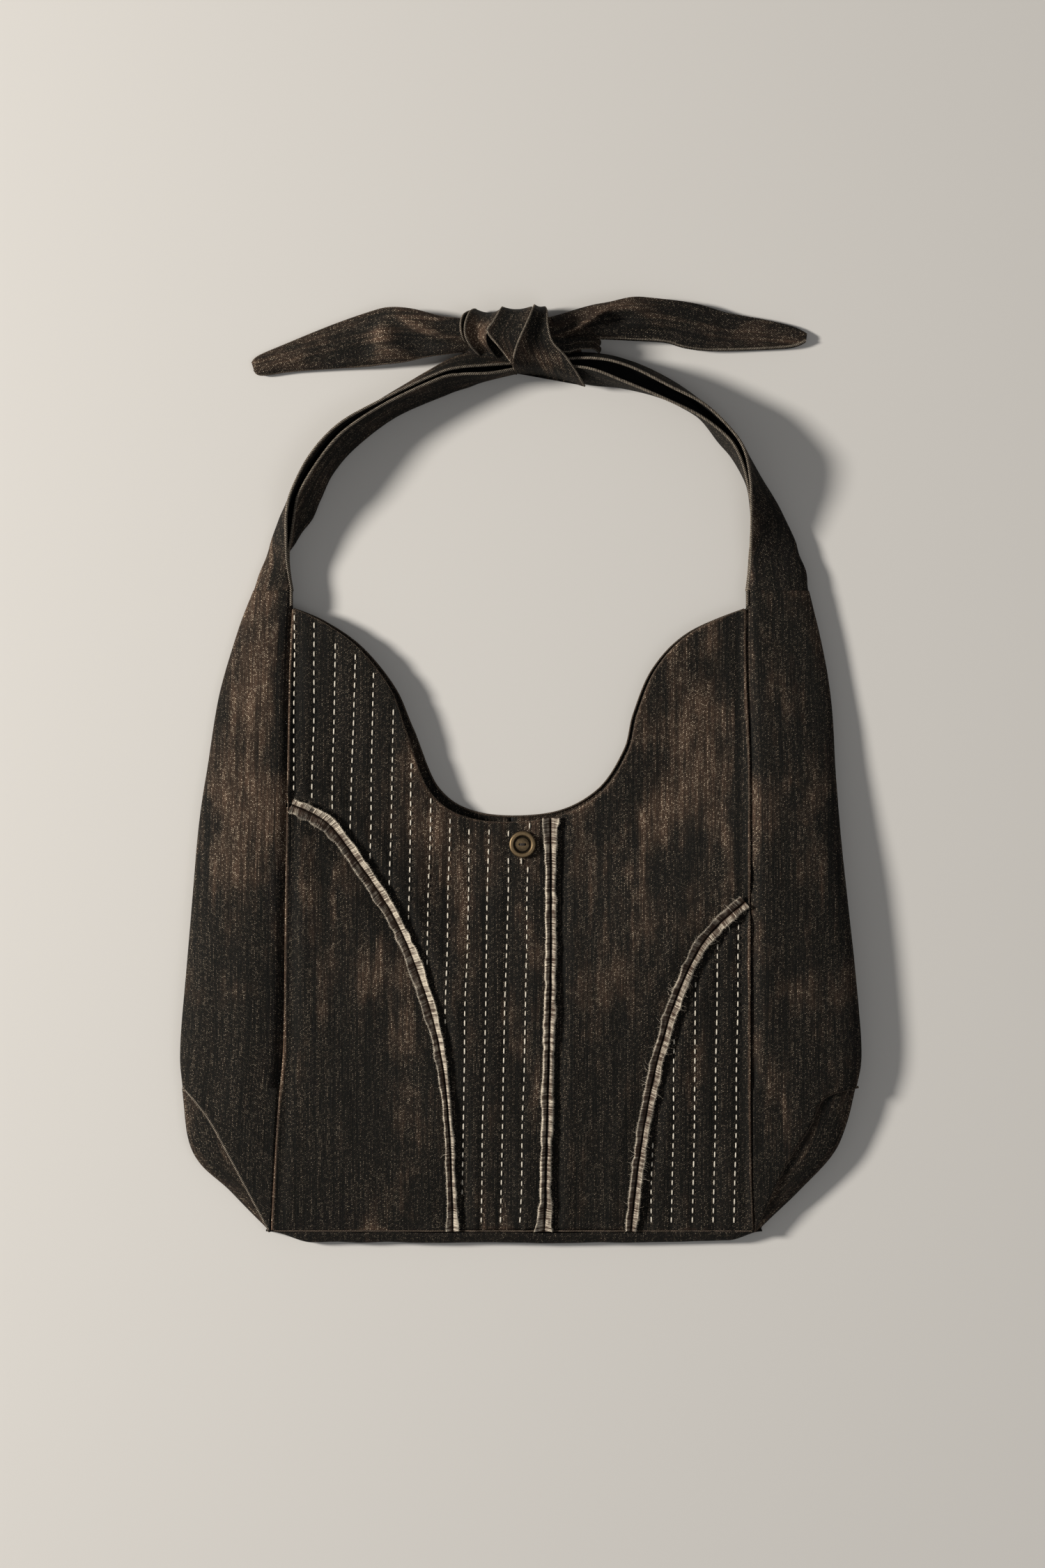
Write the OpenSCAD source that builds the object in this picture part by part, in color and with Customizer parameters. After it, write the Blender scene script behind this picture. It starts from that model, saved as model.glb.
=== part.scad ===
// Denim shoulder bag with a knotted strap, lying on its back.
// Millimetres. +Z is up, +Y runs from the bottom of the bag to the knot. The origin is the
// centre of the bag's outline, on the surface that it lies on.

/* [Body] */
// Width across the outer folds of the side gussets
body_w = 440; // [420:5:460]
// Length from the bottom fold to the top of the tails
body_l = 614; // [590:2:640]
// Height of the filled body at its side seams
body_h = 25; // [22:0.5:28]
// How much higher the front is at its middle than at its seams
crown = 3; // [0:0.5:4]
// Height of the front at the middle of the mouth
mouth_h = 12; // [11.5:0.1:14]

/* [Cloth] */
// Thickness of the denim
denim_t = 1.2; // [1:0.1:1.3]
// Thickness of the lining and the facings
lining_t = 0.6; // [0.4:0.1:0.7]
// Width of the facing inside the mouth
facing_w = 28; // [20:1:32]
// Width of each pressed-open raw seam allowance
raw_w = 4.8; // [4:0.1:5.5]
// Distance between the rows of quilting stitches
quilt_pitch = 12.7; // [12:0.1:14]

/* [Strap] */
// Height of the strap's channel where it stands on its fold
strap_h = 30; // [27:0.5:32]
// Half the width of the channel
strap_half_w = 5; // [4.5:0.1:5.5]
// Thickness of the strap's wall
strap_t = 1.4; // [1.2:0.1:1.5]
// Thickness of the tails at their middle
tail_t = 6; // [5:0.5:7]

/* [Fittings] */
// Diameter of the button
button_d = 17.4; // [16:0.2:18]
// Thickness of the button at its rim
button_t = 2.6; // [2.2:0.1:2.8]
// Diameter of the magnetic snap
snap_d = 18; // [16:0.5:18]
// Diameter of the snap's pin
snap_pin_d = 6; // [5:0.2:6.4]

/* [Hidden] */
$fn = 48;

sx = body_w / 440;
sy = body_l / 614;
clear = 0.3;      // between pieces that lie on each other
layer_gap = 1;    // between the denim and its lining
front_gap = 0.6;  // between the front and the gussets, which part when the bag opens

// ---- Outlines, seen from above. Each list runs upwards, from the bottom of the bag. ----
function plan(points) = [for (p = points) [p[0] * sx, p[1] * sy]];

// Outer silhouette of the left and right sides
edge_left = plan([[-156, -297], [-187, -271], [-211, -245], [-218, -203], [-220, -176], [-216, -122],
    [-208, -41], [-203, 0], [-194, 54], [-176, 108], [-168, 128]]);
edge_right = plan([[152, -297], [180, -271], [206, -242], [217, -203], [220, -176], [215, -122],
    [208, -41], [205, 0], [201, 54], [190, 108], [184, 128]]);
// Front side seams
seam_left = plan([[-161, -296], [-156, -219], [-152, -172], [-151, -90], [-150, -14], [-149, 60],
    [-147, 107]]);
seam_right = plan([[152, -296], [150, -252], [149, -165], [149, -57], [149, 6], [147, 69], [147, 107]]);
// Folded lower edges of the gussets, from the bottom corner to the outer fold
hem_left = plan([[-162, -295], [-180, -260], [-197, -228], [-206, -215], [-217, -203]]);
hem_right = plan([[153, -295], [170, -256], [187, -228], [197, -209], [219, -203]]);
// Raw seams of the front
curve_left = plan([[-43, -296], [-45, -235], [-50, -184], [-61, -140], [-80, -94], [-107, -53], [-125, -31],
    [-149, -19]]);
curve_right = plan([[72, -296], [77, -248], [87, -191], [101, -143], [120, -106], [148, -80]]);
centre_seam = plan([[16, -296], [18, -210], [20, -120], [20, -29]]);
// Edge of the mouth, from the left shoulder round to the right one
mouth = plan([[-147, 107], [-126, 97], [-103, 80], [-83, 54], [-73, 27], [-57, -13], [-28, -30],
    [20, -29], [52, -13], [70, 14], [76, 38], [88, 67], [110, 90], [147, 107]]);
// The left shoulder, the centre seam and the right shoulder are these points of the mouth
mouth_seam_at = 7;
mouth_end_at = 13;

strap_y = 128 * sy;    // the straps fold about a line across the bag here
bottom_y = -296 * sy;  // seam between the front and the base
base_fold_y = -238 * sy;
base_nose_y = -306.5 * sy;
button_at = [2 * sx, -46 * sy];

// Height of the front at its side seams, along Y
seam_height = [for (p = [[-296, 11], [-250, 0.76 * body_h], [-150, body_h], [-50, body_h], [30, 0.8 * body_h],
    [107, 15], [128, 13]]) [p[0] * sy, p[1]]];

// ---- Curves ----
function blend4(a, b, c, d, t) = 0.5 * (2 * b + (c - a) * t + (2 * a - 5 * b + 4 * c - d) * t * t
    + (3 * b - a - 3 * c + d) * t * t * t);
// A point of the smooth curve through a list of points, at s from 0 to the last point's index
function on_curve(p, s) = let (k = max(min(floor(s), len(p) - 2), 0), last = len(p) - 1)
    blend4(p[max(k - 1, 0)], p[k], p[k + 1], p[min(k + 2, last)], s - k);
function curve(p, from, to, n) = [for (i = [0 : n]) on_curve(p, from + (to - from) * i / n)];
function whole(p, n) = curve(p, 0, len(p) - 1, n);
function x_table(p) = [for (q = whole(p, 8 * len(p))) [q[1], q[0]]];
function smooth(t) = let (c = min(max(t, 0), 1)) c * c * (3 - 2 * c);

edge_left_x = x_table(edge_left);
edge_right_x = x_table(edge_right);
seam_left_x = x_table(seam_left);
seam_right_x = x_table(seam_right);
hem_left_x = x_table(hem_left);
hem_right_x = x_table(hem_right);
curve_left_x = x_table(curve_left);
curve_right_x = x_table(curve_right);
centre_x = x_table(centre_seam);
mouth_line = whole(mouth, 39);
seam_height_at = whole(seam_height, 48);

// ---- Surfaces ----
// Height of the top of the front. It is low and level round the mouth, where the snap holds it shut.
function mouth_distance(x, y) = min([for (p = mouth_line) norm([x, y] - p)]);
function front_z(x, y) = let (
    full = lookup(y, seam_height_at) + crown * (1 - pow(x / (150 * sx), 2)) * smooth((y - bottom_y) / 90),
    lip = mouth_h + 3 * smooth((abs(x) - 25) / 55))
    lip + (full - lip) * smooth((mouth_distance(x, y) - 30) / 84);
// Height of the underside of the back. It steps up onto the folded base.
base_layers = 2 * denim_t + 3 * clear;
function back_z(x, y) = base_layers * smooth((base_fold_y + 16 - y) / 14);

// A sheet of cloth: rows of points on its outer face and on its inner face
module sheet(outer, inner) {
    rows = len(outer);
    cols = len(outer[0]);
    function o(r, c) = r * cols + c;
    function i(r, c) = rows * cols + r * cols + c;
    polyhedron(
        points = [for (row = outer) each row, for (row = inner) each row],
        faces = [
            for (r = [0 : rows - 2], c = [0 : cols - 2]) each [
                [o(r, c), o(r + 1, c), o(r + 1, c + 1)], [o(r, c), o(r + 1, c + 1), o(r, c + 1)],
                [i(r, c), i(r + 1, c + 1), i(r + 1, c)], [i(r, c), i(r, c + 1), i(r + 1, c + 1)]],
            for (r = [0 : rows - 2], last = [cols - 1]) each [
                [o(r, 0), i(r, 0), i(r + 1, 0)], [o(r, 0), i(r + 1, 0), o(r + 1, 0)],
                [o(r, last), i(r + 1, last), i(r, last)], [o(r, last), o(r + 1, last), i(r + 1, last)]],
            for (c = [0 : cols - 2], last = [rows - 1]) each [
                [o(0, c), o(0, c + 1), i(0, c + 1)], [o(0, c), i(0, c + 1), i(0, c)],
                [o(last, c), i(last, c + 1), o(last, c + 1)], [o(last, c), i(last, c), i(last, c + 1)]]
        ]);
}

// Rows of points straight across from one line to another
function between(left, right, cols) = [for (k = [0 : len(left) - 1])
    [for (c = [0 : cols]) left[k] + (right[k] - left[k]) * c / cols]];
// The same rows, raised to a height function and lowered by an amount
function raised(rows, height, down) =
    [for (row = rows) [for (p = row) [p[0], p[1], height(p[0], p[1]) - down]]];

module front_cloth(rows, down = 0, t = denim_t) {
    sheet(raised(rows, function (x, y) front_z(x, y), down),
          raised(rows, function (x, y) front_z(x, y), down + t));
}
module back_cloth(rows, up = 0, t = denim_t) {
    sheet(raised(rows, function (x, y) back_z(x, y), -up - t),
          raised(rows, function (x, y) back_z(x, y), -up));
}
function levels(from, to, n) = [for (i = [0 : n]) from + (to - from) * i / n];

// ---- Front ----
seam_slit = 0.4;  // half the gap between two panels at a raw seam
front_foot = bottom_y + front_gap;
// Where the curved seams reach the side seams
left_seam_end = -21 * sy;
right_seam_end = -82 * sy;

module front_left_lower() {
    ys = levels(front_foot, left_seam_end, 16);
    color("#2b2724") front_cloth(between(
        [for (y = ys) [lookup(y, seam_left_x) + front_gap, y]],
        [for (y = ys) [lookup(y, curve_left_x) - seam_slit, y]], 5));
}

module front_right_lower() {
    ys = levels(front_foot, right_seam_end, 14);
    color("#2b2724") front_cloth(between(
        [for (y = ys) [lookup(y, curve_right_x) + seam_slit, y]],
        [for (y = ys) [lookup(y, seam_right_x) - front_gap, y]], 5));
}

// The two centre panels run up from the base to a shoulder, with the mouth's edge along one side
module front_left_centre() {
    low_ys = levels(front_foot, left_seam_end, 16);
    high_ys = levels(-12 * sy, 104 * sy, 9);
    seam_ys = levels(front_foot, -36 * sy, 11);
    color("#2f2a27") front_cloth(between(
        concat([for (y = low_ys) [lookup(y, curve_left_x) + seam_slit, y]],
            [for (y = high_ys) [lookup(y, seam_left_x) + front_gap, y]]),
        concat([for (y = seam_ys) [lookup(y, centre_x) - seam_slit, y]],
            curve(mouth, mouth_seam_at - 0.02, 0.2, 14)), 7));
}

module front_right_centre() {
    low_ys = levels(front_foot, right_seam_end, 14);
    high_ys = levels(-70 * sy, 104 * sy, 12);
    seam_ys = levels(front_foot, -36 * sy, 11);
    color("#2b2724") front_cloth(between(
        concat([for (y = seam_ys) [lookup(y, centre_x) + seam_slit, y]],
            curve(mouth, mouth_seam_at + 0.02, mouth_end_at - 0.2, 13)),
        concat([for (y = low_ys) [lookup(y, curve_right_x) - seam_slit, y]],
            [for (y = high_ys) [lookup(y, seam_right_x) - front_gap, y]]), 7));
}

// Two seam allowances pressed open on the outside, either side of a seam line
module raw_seam(line, low, high, n) {
    groove = 0.5;
    lift = 0.9;
    thick = 1.3;
    for (side = [-1, 1]) {
        rows = [for (i = [0 : n]) let (s = low + (high - low) * i / n,
            p = on_curve(line, s), along = on_curve(line, s + 0.05) - on_curve(line, s - 0.05),
            across = [along[1], -along[0]] / norm(along))
            let (near = p + side * groove * across, far = p + side * raw_w * across)
            side > 0 ? [near, (near + far) / 2, far] : [far, (near + far) / 2, near]];
        front_cloth(rows, -lift - thick, thick);
    }
}
module raw_seam_left() color("#b09a82") raw_seam(curve_left, 0.03, 6.7, 22);
module raw_seam_centre() color("#cbb9a0") raw_seam(centre_seam, 0.02, 2.93, 14);
module raw_seam_right() color("#b09a82") raw_seam(curve_right, 0.03, 4.75, 18);

// Rows of running stitch, each drawn as one thread that lies on the denim
thread_w = 0.8;
thread_lift = [0.9, 1.4];
module stitch_row(from, to) {
    n = max(3, round((to[1] - from[1]) / 24));
    rows = [for (i = [0 : n]) let (p = from + (to - from) * i / n)
        [p - [thread_w / 2, 0], p + [thread_w / 2, 0]]];
    color("#e8ddc8") front_cloth(rows, -thread_lift[1], thread_lift[1] - thread_lift[0]);
}
curve_left_y = [for (q = curve_left_x) [q[1], q[0]]];
curve_right_y = [for (q = curve_right_x) [q[1], q[0]]];
mouth_y = [for (p = mouth_line) if (p[0] < 20 * sx) p];
row_drift = 5;  // the left rows lean this far towards the side by the centre seam
row_end = 9;    // between a row's end and a curved raw seam
module quilting_left() for (k = [0 : 12]) {
    x = (-143 + quilt_pitch * k) * sx;
    foot_x = x - row_drift * k / 12;
    foot = foot_x > -36 * sx ? bottom_y + 5
        : max(lookup(foot_x - row_end, curve_left_y), lookup(foot_x, curve_left_y) + row_end);
    top = abs(x - button_at[0]) < button_d / 2 ? button_at[1] - 12 : lookup(x, mouth_y) - 6;
    stitch_row([foot_x, foot], [x, top]);
}
module quilting_right() for (k = [0 : 4]) {
    x = (91 + quilt_pitch * k) * sx;
    stitch_row([x, bottom_y + 5],
        [x, min(lookup(x - row_end, curve_right_y), lookup(x, curve_right_y) - row_end)]);
}

// ---- Lining and facings: the facing follows the mouth, and the lining hangs from it ----
lining_in = layer_gap + denim_t;
facing_gap = 3;  // between the facing's far edge and the lining
function inward(s) =
    let (along = on_curve(mouth, min(s + 0.1, mouth_end_at)) - on_curve(mouth, max(s - 0.1, 0)))
    [along[1], -along[0]] / norm(along);
function below_mouth(s, d) = on_curve(mouth, s) + d * inward(s);
// The facing's far edge starts and ends a little way in from the shoulders, where it meets the side seams
function facing_foot(t, d) = below_mouth(0.62 + (mouth_end_at - 1.24) * t, facing_w + d);
facing_rows = [for (i = [0 : 36]) let (t = i / 36, foot = facing_foot(t, 0),
    top = below_mouth(0.04 + (mouth_end_at - 0.08) * t, clear))
    [foot, (foot + top) / 2, top]];
// A column of points from a foot near the base to a top by the mouth, close together where the
// cloth steps up onto the base
step_ys = [bottom_y + 3, bottom_y + 30, base_fold_y + 1, base_fold_y + 6, base_fold_y + 11, base_fold_y + 17];
function column(foot, top, n) = let (reach = top[1] - foot[1], last = step_ys[5],
    ys = concat([foot[1]], [for (k = [1 : 5]) step_ys[k]],
                [for (i = [1 : n]) last + (top[1] - last) * i / n]))
    [for (y = ys) foot + (top - foot) * (y - foot[1]) / reach];
lining_columns = [for (j = [0 : 18])
    column([(-154 + 300 * j / 18) * sx, step_ys[0]], facing_foot(j / 18, facing_gap), 9)];
lining_rows = columns_first(lining_columns);

function columns_first(rows) = [for (c = [0 : len(rows[0]) - 1]) [for (row = rows) row[c]]];

module front_facing() color("#161514") difference() {
    front_cloth(columns_first(facing_rows), lining_in, lining_t);
    prong_slots();
}
module back_facing() color("#161514") difference() {
    back_cloth(columns_first(facing_rows), lining_in - clear, lining_t);
    prong_slots();
}
module front_lining() color("#1d1c1b") front_cloth(lining_rows, lining_in, lining_t);
module back_lining() color("#1d1c1b") back_cloth(lining_rows, lining_in - clear, lining_t);

// ---- Back ----
// s runs along the mouth, from 0 at the left shoulder
module back_panel(s_from, s_to, x_from, x_to) {
    columns = [for (j = [0 : 9]) column([x_from + (x_to - x_from) * j / 9, bottom_y + clear],
        below_mouth(s_from + (s_to - s_from) * j / 9, 0), 9)];
    color("#2b2724") back_cloth(columns_first(columns));
}
module back_left() back_panel(0.05, mouth_seam_at - 0.52, -153 * sx, -2.2 * sx);
module back_right() back_panel(mouth_seam_at - 0.5, mouth_end_at - 0.05, -2 * sx, 149 * sx);

// ---- Side gussets and base: cloth that folds round the bag's side ----
nose = [0, 22, 45, 65, 80, 90];
// Points of the section at one level, from the back seam round the fold to the front seam.
// q is how far out a point is, from 0 at the seam to 1 at the fold; h its height over the middle.
front_part = [for (a = nose) [pow(sin(a), 0.77), cos(a)]];
back_part = [for (a = nose) [pow(sin(a), 0.4), -pow(cos(a), 0.5)]];
function around(seam, fold, top, t) = let (mid = top / 2, out = (fold - seam) * (1 - t / abs(fold - seam)))
    [for (k = [0 : 4]) [seam + out * back_part[k][0], mid + (mid - t) * back_part[k][1]],
     for (k = [5 : -1 : 0]) [seam + out * front_part[k][0], mid + (mid - t) * front_part[k][1]]];
function section_rows(ys, seam_x, edge_x, t, from, to, shrink = 0) = [for (y = ys) let (
    seam = lookup(y, seam_x), fold = lookup(y, edge_x),
    ring = around(seam, fold, front_z(seam, y) - shrink, t))
    [for (k = [from : to]) [ring[k][0], y, ring[k][1]]]];
function mirrored(rows) = [for (row = rows) [for (k = [len(row) - 1 : -1 : 0]) row[k]]];
function turned(rows, left) = left ? rows : mirrored(rows);

// The front half alone, below the hem's upper end, from the front seam out to the folded hem
function flap_rows(ys, seam_x, edge_x, hem_x, down) = [for (y = ys) let (
    seam = lookup(y, seam_x), fold = lookup(y, edge_x), hem = lookup(y, hem_x), top = front_z(seam, y))
    [for (c = [6 : -1 : 0])
        let (x = seam + (hem - seam) * sin(15 * c), q = min((x - seam) / (fold - seam), 0.98))
        [x, y, top / 2 + top / 2 * pow(1 - pow(q, 2.6), 0.5) - down]]];

module gusset(seam_x, edge_x, hem_x, left) {
    ys = levels(-203 * sy, strap_y - 3.6, 20);
    low_ys = levels(-291 * sy, -203 * sy - 0.1, 7);
    sheet(turned(section_rows(ys, seam_x, edge_x, 0, 0, 10), left),
        turned(section_rows(ys, seam_x, edge_x, denim_t, 0, 10), left));
    sheet(turned(flap_rows(low_ys, seam_x, edge_x, hem_x, 0), left),
        turned(flap_rows(low_ys, seam_x, edge_x, hem_x, denim_t), left));
}
module gusset_left() color("#35302c") gusset(seam_left_x, edge_left_x, hem_left_x, true);
module gusset_right() color("#2b2724") gusset(seam_right_x, edge_right_x, hem_right_x, false);

module base_end(seam_x, edge_x, left) {
    under = denim_t + clear + 2;
    ys = levels(-288 * sy, -203 * sy - 0.5, 9);
    sheet(turned(section_rows(ys, seam_x, edge_x, 0, 1, 9, under), left),
        turned(section_rows(ys, seam_x, edge_x, denim_t, 1, 9, under), left));
}
module base_end_left() color("#2b2724") base_end(seam_left_x, edge_left_x, true);
module base_end_right() color("#2b2724") base_end(seam_right_x, edge_right_x, false);

// The base turns under the bag at the bottom fold, and back again at its own middle fold
module base_panel() {
    top = 11;
    t = denim_t;
    second = t + clear;
    half_len = [-150 * sx, 146 * sx];
    profile = [
        [bottom_y - 0.1, top - 0.2], [bottom_y - 6, top - 1.2], [base_nose_y, top / 2],
        [base_nose_y + 4, 0.8],
        [base_nose_y + 8, 0], [base_fold_y, 0], [base_fold_y, second + t], [bottom_y + 1, second + t],
        [bottom_y + 1, second], [base_fold_y - t, second], [base_fold_y - t, t], [base_nose_y + 8.5, t],
        [base_nose_y + 5, t + 0.7], [base_nose_y + t, top / 2], [bottom_y - 5.5, top - 1.2 - t],
        [bottom_y - 0.1, top - 0.2 - t]];
    color("#24211f") translate([half_len[0], 0, 0]) rotate([90, 0, 90])
        linear_extrude(height = half_len[1] - half_len[0]) polygon(profile);
}

// ---- Strap: a channel of cloth whose mouth turns from the bag's side to face up ----
// Stations: x, y, height of the middle, angle of the mouth (0 is towards the inside of the loop,
// 90 is up), height of the channel, half its width
strap_left_path = [
    [-157, 128.6, 7.6, 0, 0.72 * strap_h, 7], [-151, 150, 10, 35, 0.8 * strap_h, 6],
    [-142, 170, 14.5, 75, 0.93 * strap_h, strap_half_w], [-136, 185, 16, 108, strap_h, strap_half_w],
    [-121, 206, 16, 112, strap_h, strap_half_w], [-101, 226, 16, 112, strap_h, strap_half_w],
    [-75, 243, 16, 110, strap_h, strap_half_w], [-49, 254, 16, 108, strap_h, strap_half_w],
    [-28, 257.5, 15, 96, 0.93 * strap_h, strap_half_w], [-7, 259, 13, 90, 0.8 * strap_h, strap_half_w]];
strap_right_path = [
    [166, 128.6, 7.6, 0, 1.2 * strap_h, 7], [162, 152, 9, 10, strap_h, 6],
    [156, 175, 12, 35, 0.93 * strap_h, strap_half_w], [150, 192, 15, 62, 0.97 * strap_h, strap_half_w],
    [140, 208, 16, 85, strap_h, strap_half_w], [124, 227, 16, 90, strap_h, strap_half_w],
    [101, 241, 16, 90, strap_h, strap_half_w], [76, 252, 16, 90, strap_h, 1.1 * strap_half_w],
    [56, 260, 15.5, 86, strap_h, strap_half_w], [38.5, 263, 15, 84, 0.9 * strap_h, strap_half_w]];

// Outline of the channel, from one rail down round the fold and up to the other: across, along the mouth
channel = [[-1, 0.5], [-1, 0.25], [-1, -0.1], [-0.85, -0.34], [-0.45, -0.46], [0, -0.5],
    [0.45, -0.46], [0.85, -0.34], [1, -0.1], [1, 0.25], [1, 0.5]];
function strap_rows(path, n, left, in, sunk) = let (side = left ? 1 : -1)
    [for (i = [0 : n]) let (s = (len(path) - 1) * i / n, p = on_curve(path, s),
        ahead = on_curve(path, min(s + 0.1, len(path) - 1)), behind = on_curve(path, max(s - 0.1, 0)),
        along = [(ahead[0] - behind[0]) * sx, (ahead[1] - behind[1]) * sy],
        inner = side * [along[1], -along[0]] / norm(along),
        mouth_dir = [inner[0] * cos(p[3]), inner[1] * cos(p[3]), sin(p[3])],
        across = [-inner[0] * sin(p[3]), -inner[1] * sin(p[3]), cos(p[3])])
        [for (c = channel)
            let (half_h = p[4] / 2 - in, up = c[1] > 0 ? p[4] * c[1] - sunk * 2 * c[1] : c[1] * 2 * half_h)
            [p[0] * sx, p[1] * sy, p[2]] + side * across * c[0] * (p[5] - in) + mouth_dir * up]];
module strap(path, left, in, t, sunk, n = 20) {
    sheet(strap_rows(path, n, left, in, sunk), strap_rows(path, n, left, in + t, sunk));
}
module strap_left() color("#35302c") strap(strap_left_path, true, 0, strap_t, 0);
module strap_right() color("#2b2724") strap(strap_right_path, false, 0, strap_t, 0);
module strap_facing_left() color("#121111") strap(strap_left_path, true, strap_t + 0.2, lining_t, 2, 20);
module strap_facing_right() color("#121111") strap(strap_right_path, false, strap_t + 0.2, lining_t, 2, 20);

// ---- Knot and tails: closed forms lofted through oval sections ----
// Stations: middle of the section, half its width across the run, half its height
module lofted(stations, run, n = 12) {
    ring = [for (a = [0 : 36 : 324]) [cos(a), sin(a)]];
    rings = [for (i = [0 : n]) let (s = (len(stations) - 1) * i / n, p = on_curve(stations, s))
        [for (c = ring)
            let (w = p[3] * sign(c[0]) * pow(abs(c[0]), 0.8), h = p[4] * sign(c[1]) * pow(abs(c[1]), 0.8))
            run == "x" ? [p[0] * sx, p[1] * sy + w, p[2] + h] : [p[0] * sx + w, p[1] * sy, p[2] + h]]];
    count = len(ring);
    points = [for (r = rings) each r];
    sides = [for (i = [0 : n - 1], k = [0 : count - 1])
        let (a = i * count + k, b = i * count + (k + 1) % count)
        each [[a, b + count, b], [a, a + count, b + count]]];
    caps = [for (k = [1 : count - 2]) each [[0, k, k + 1], [n * count, n * count + k + 1, n * count + k]]];
    faces = concat(sides, caps);
    polyhedron(points, run == "x" ? [for (f = faces) [f[0], f[2], f[1]]] : faces);
}
module knot_collar() color("#35302c") lofted([
    [-19, 266, 22, 8, 6], [-19, 270, 23, 15, 9], [-17.5, 281, 24, 18.5, 9.5], [-12.5, 292, 23, 17.5, 9],
    [-11, 298.5, 19, 13, 7]], "y", 10);
module knot_cross() color("#2b2724") lofted([
    [30, 251, 13, 9, 6], [18.5, 258, 18, 21, 12], [15, 268, 24, 15.5, 9.5], [13, 280, 26, 9, 7.5],
    [14, 292, 24, 6.5, 8], [14.5, 301, 19, 4, 6]], "y", 12);
module knot_core() color("#24211f") lofted([
    [-36, 281, 8, 8, 4], [-26, 280, 7, 10, 6.4], [6, 280, 6.6, 9.5, 6.2], [24, 282, 7, 10, 6.4],
    [33.5, 285, 9, 8, 4]], "x", 10);
module tail_left() color("#35302c") lofted([
    [-38, 283, 13.6, 9, 3], [-46, 283, 13.2, 11.5, tail_t / 2], [-62, 283, 11, 15.5, tail_t / 2],
    [-85, 282, 8.5, 18.5, tail_t / 2], [-122, 276, 6, 13.5, 0.45 * tail_t],
    [-147, 270, 4.2, 9.7, 0.42 * tail_t],
    [-168, 264, 3.4, 6.5, 0.4 * tail_t], [-173, 262, 3.2, 3, 1.5]], "x", 14);
module tail_right() color("#2b2724") lofted([
    [35, 288, 13.6, 8.5, 3], [46, 289.5, 13.2, 11.5, tail_t / 2], [62, 291, 11, 14, tail_t / 2],
    [84, 292, 8.5, 15.3, tail_t / 2], [111, 289, 7, 15.5, 0.45 * tail_t],
    [136, 287, 5.2, 12.5, 0.42 * tail_t],
    [162, 284, 3.8, 9.3, 0.4 * tail_t], [182, 282, 3.4, 6.4, 0.4 * tail_t],
    [187, 281.5, 3.2, 3, 1.5]], "x", 14);

// ---- Button: a two-hole disc with a raised rim and a domed middle ----
button_z = mouth_h + 2 * clear;
hole_pitch = 3.4;
hole_d = 1.5;
module button() {
    r = button_d / 2;
    t = button_t;
    color("#7a6038") translate([button_at[0], button_at[1], button_z]) difference() {
        rotate_extrude() polygon([[0, 0], [r - 1.2, 0], [r - 0.3, 0.5], [r, 1.1], [r - 0.2, 1.9],
            [r - 0.9, t - 0.1], [r - 1.6, t], [r - 2.5, t - 0.15], [r - 3.1, 1.7], [r - 3.5, 1.2],
            [r - 3.9, 1.2], [r - 4.2, 1.7], [2.8, 1.95], [1.2, 2.05], [0, 2.1]]);
        for (side = [-1, 1]) translate([side * hole_pitch / 2, 0, -1]) cylinder(d = hole_d, h = t + 2);
    }
}
module button_thread() {
    thread_d = 1;
    top = button_z + 2.1 + 0.1 + thread_d / 2;
    color("#1c1917") translate([button_at[0], button_at[1], 0]) {
        for (side = [-1, 1])
            translate([side * hole_pitch / 2, 0, mouth_h]) cylinder(d = thread_d, h = top - mouth_h);
        translate([-hole_pitch / 2, 0, top]) rotate([0, 90, 0]) cylinder(d = thread_d, h = hole_pitch);
    }
}

// ---- Magnetic snap, behind the button: a socket in the front facing, a stud in the back facing ----
prong = [1, 3];
prong_pitch = 10;
back_face = lining_in - clear + lining_t + 0.1;
front_face = mouth_h - lining_in - lining_t - 0.1;
parting = back_face + 2.2;
module prongs(from, to) for (side = [-1, 1])
    translate([side * prong_pitch / 2 - prong[0] / 2, -prong[1] / 2, from]) cube([prong[0], prong[1], to - from]);
// Slots that the prongs of both halves pass through in the facings
module prong_slots() for (side = [-1, 1])
    translate([button_at[0] + side * prong_pitch / 2, button_at[1], button_z / 2])
        cube([prong[0] + 0.3, prong[1] + 0.3, button_z], center = true);
module washer(z) color("#8c8c88") translate([button_at[0], button_at[1], z]) difference() {
    cylinder(d = snap_d - 2, h = 0.6);
    cylinder(d = 5, h = 3, center = true);
    for (side = [-1, 1]) translate([side * prong_pitch / 2, 0, 0])
        cube([prong[0] + 0.3, prong[1] + 0.3, 3], center = true);
}
module snap_socket() color("#a8823c") translate([button_at[0], button_at[1], 0]) {
    difference() {
        translate([0, 0, parting]) cylinder(d = snap_d, h = front_face - parting);
        translate([0, 0, parting - 1]) cylinder(d = snap_pin_d + 0.8, h = 3.6);
    }
    prongs(front_face - 0.1, mouth_h - denim_t - 0.3);
}
module snap_stud() color("#a8823c") translate([button_at[0], button_at[1], 0]) {
    translate([0, 0, back_face]) cylinder(d = snap_d, h = parting - clear - back_face);
    translate([0, 0, parting - 1]) cylinder(d = snap_pin_d, h = 3);
    prongs(denim_t + 0.1, back_face + 0.1);
}
module snap_socket_washer() washer(mouth_h - denim_t - 0.85);
module snap_stud_washer() washer(denim_t + 0.05);

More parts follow.
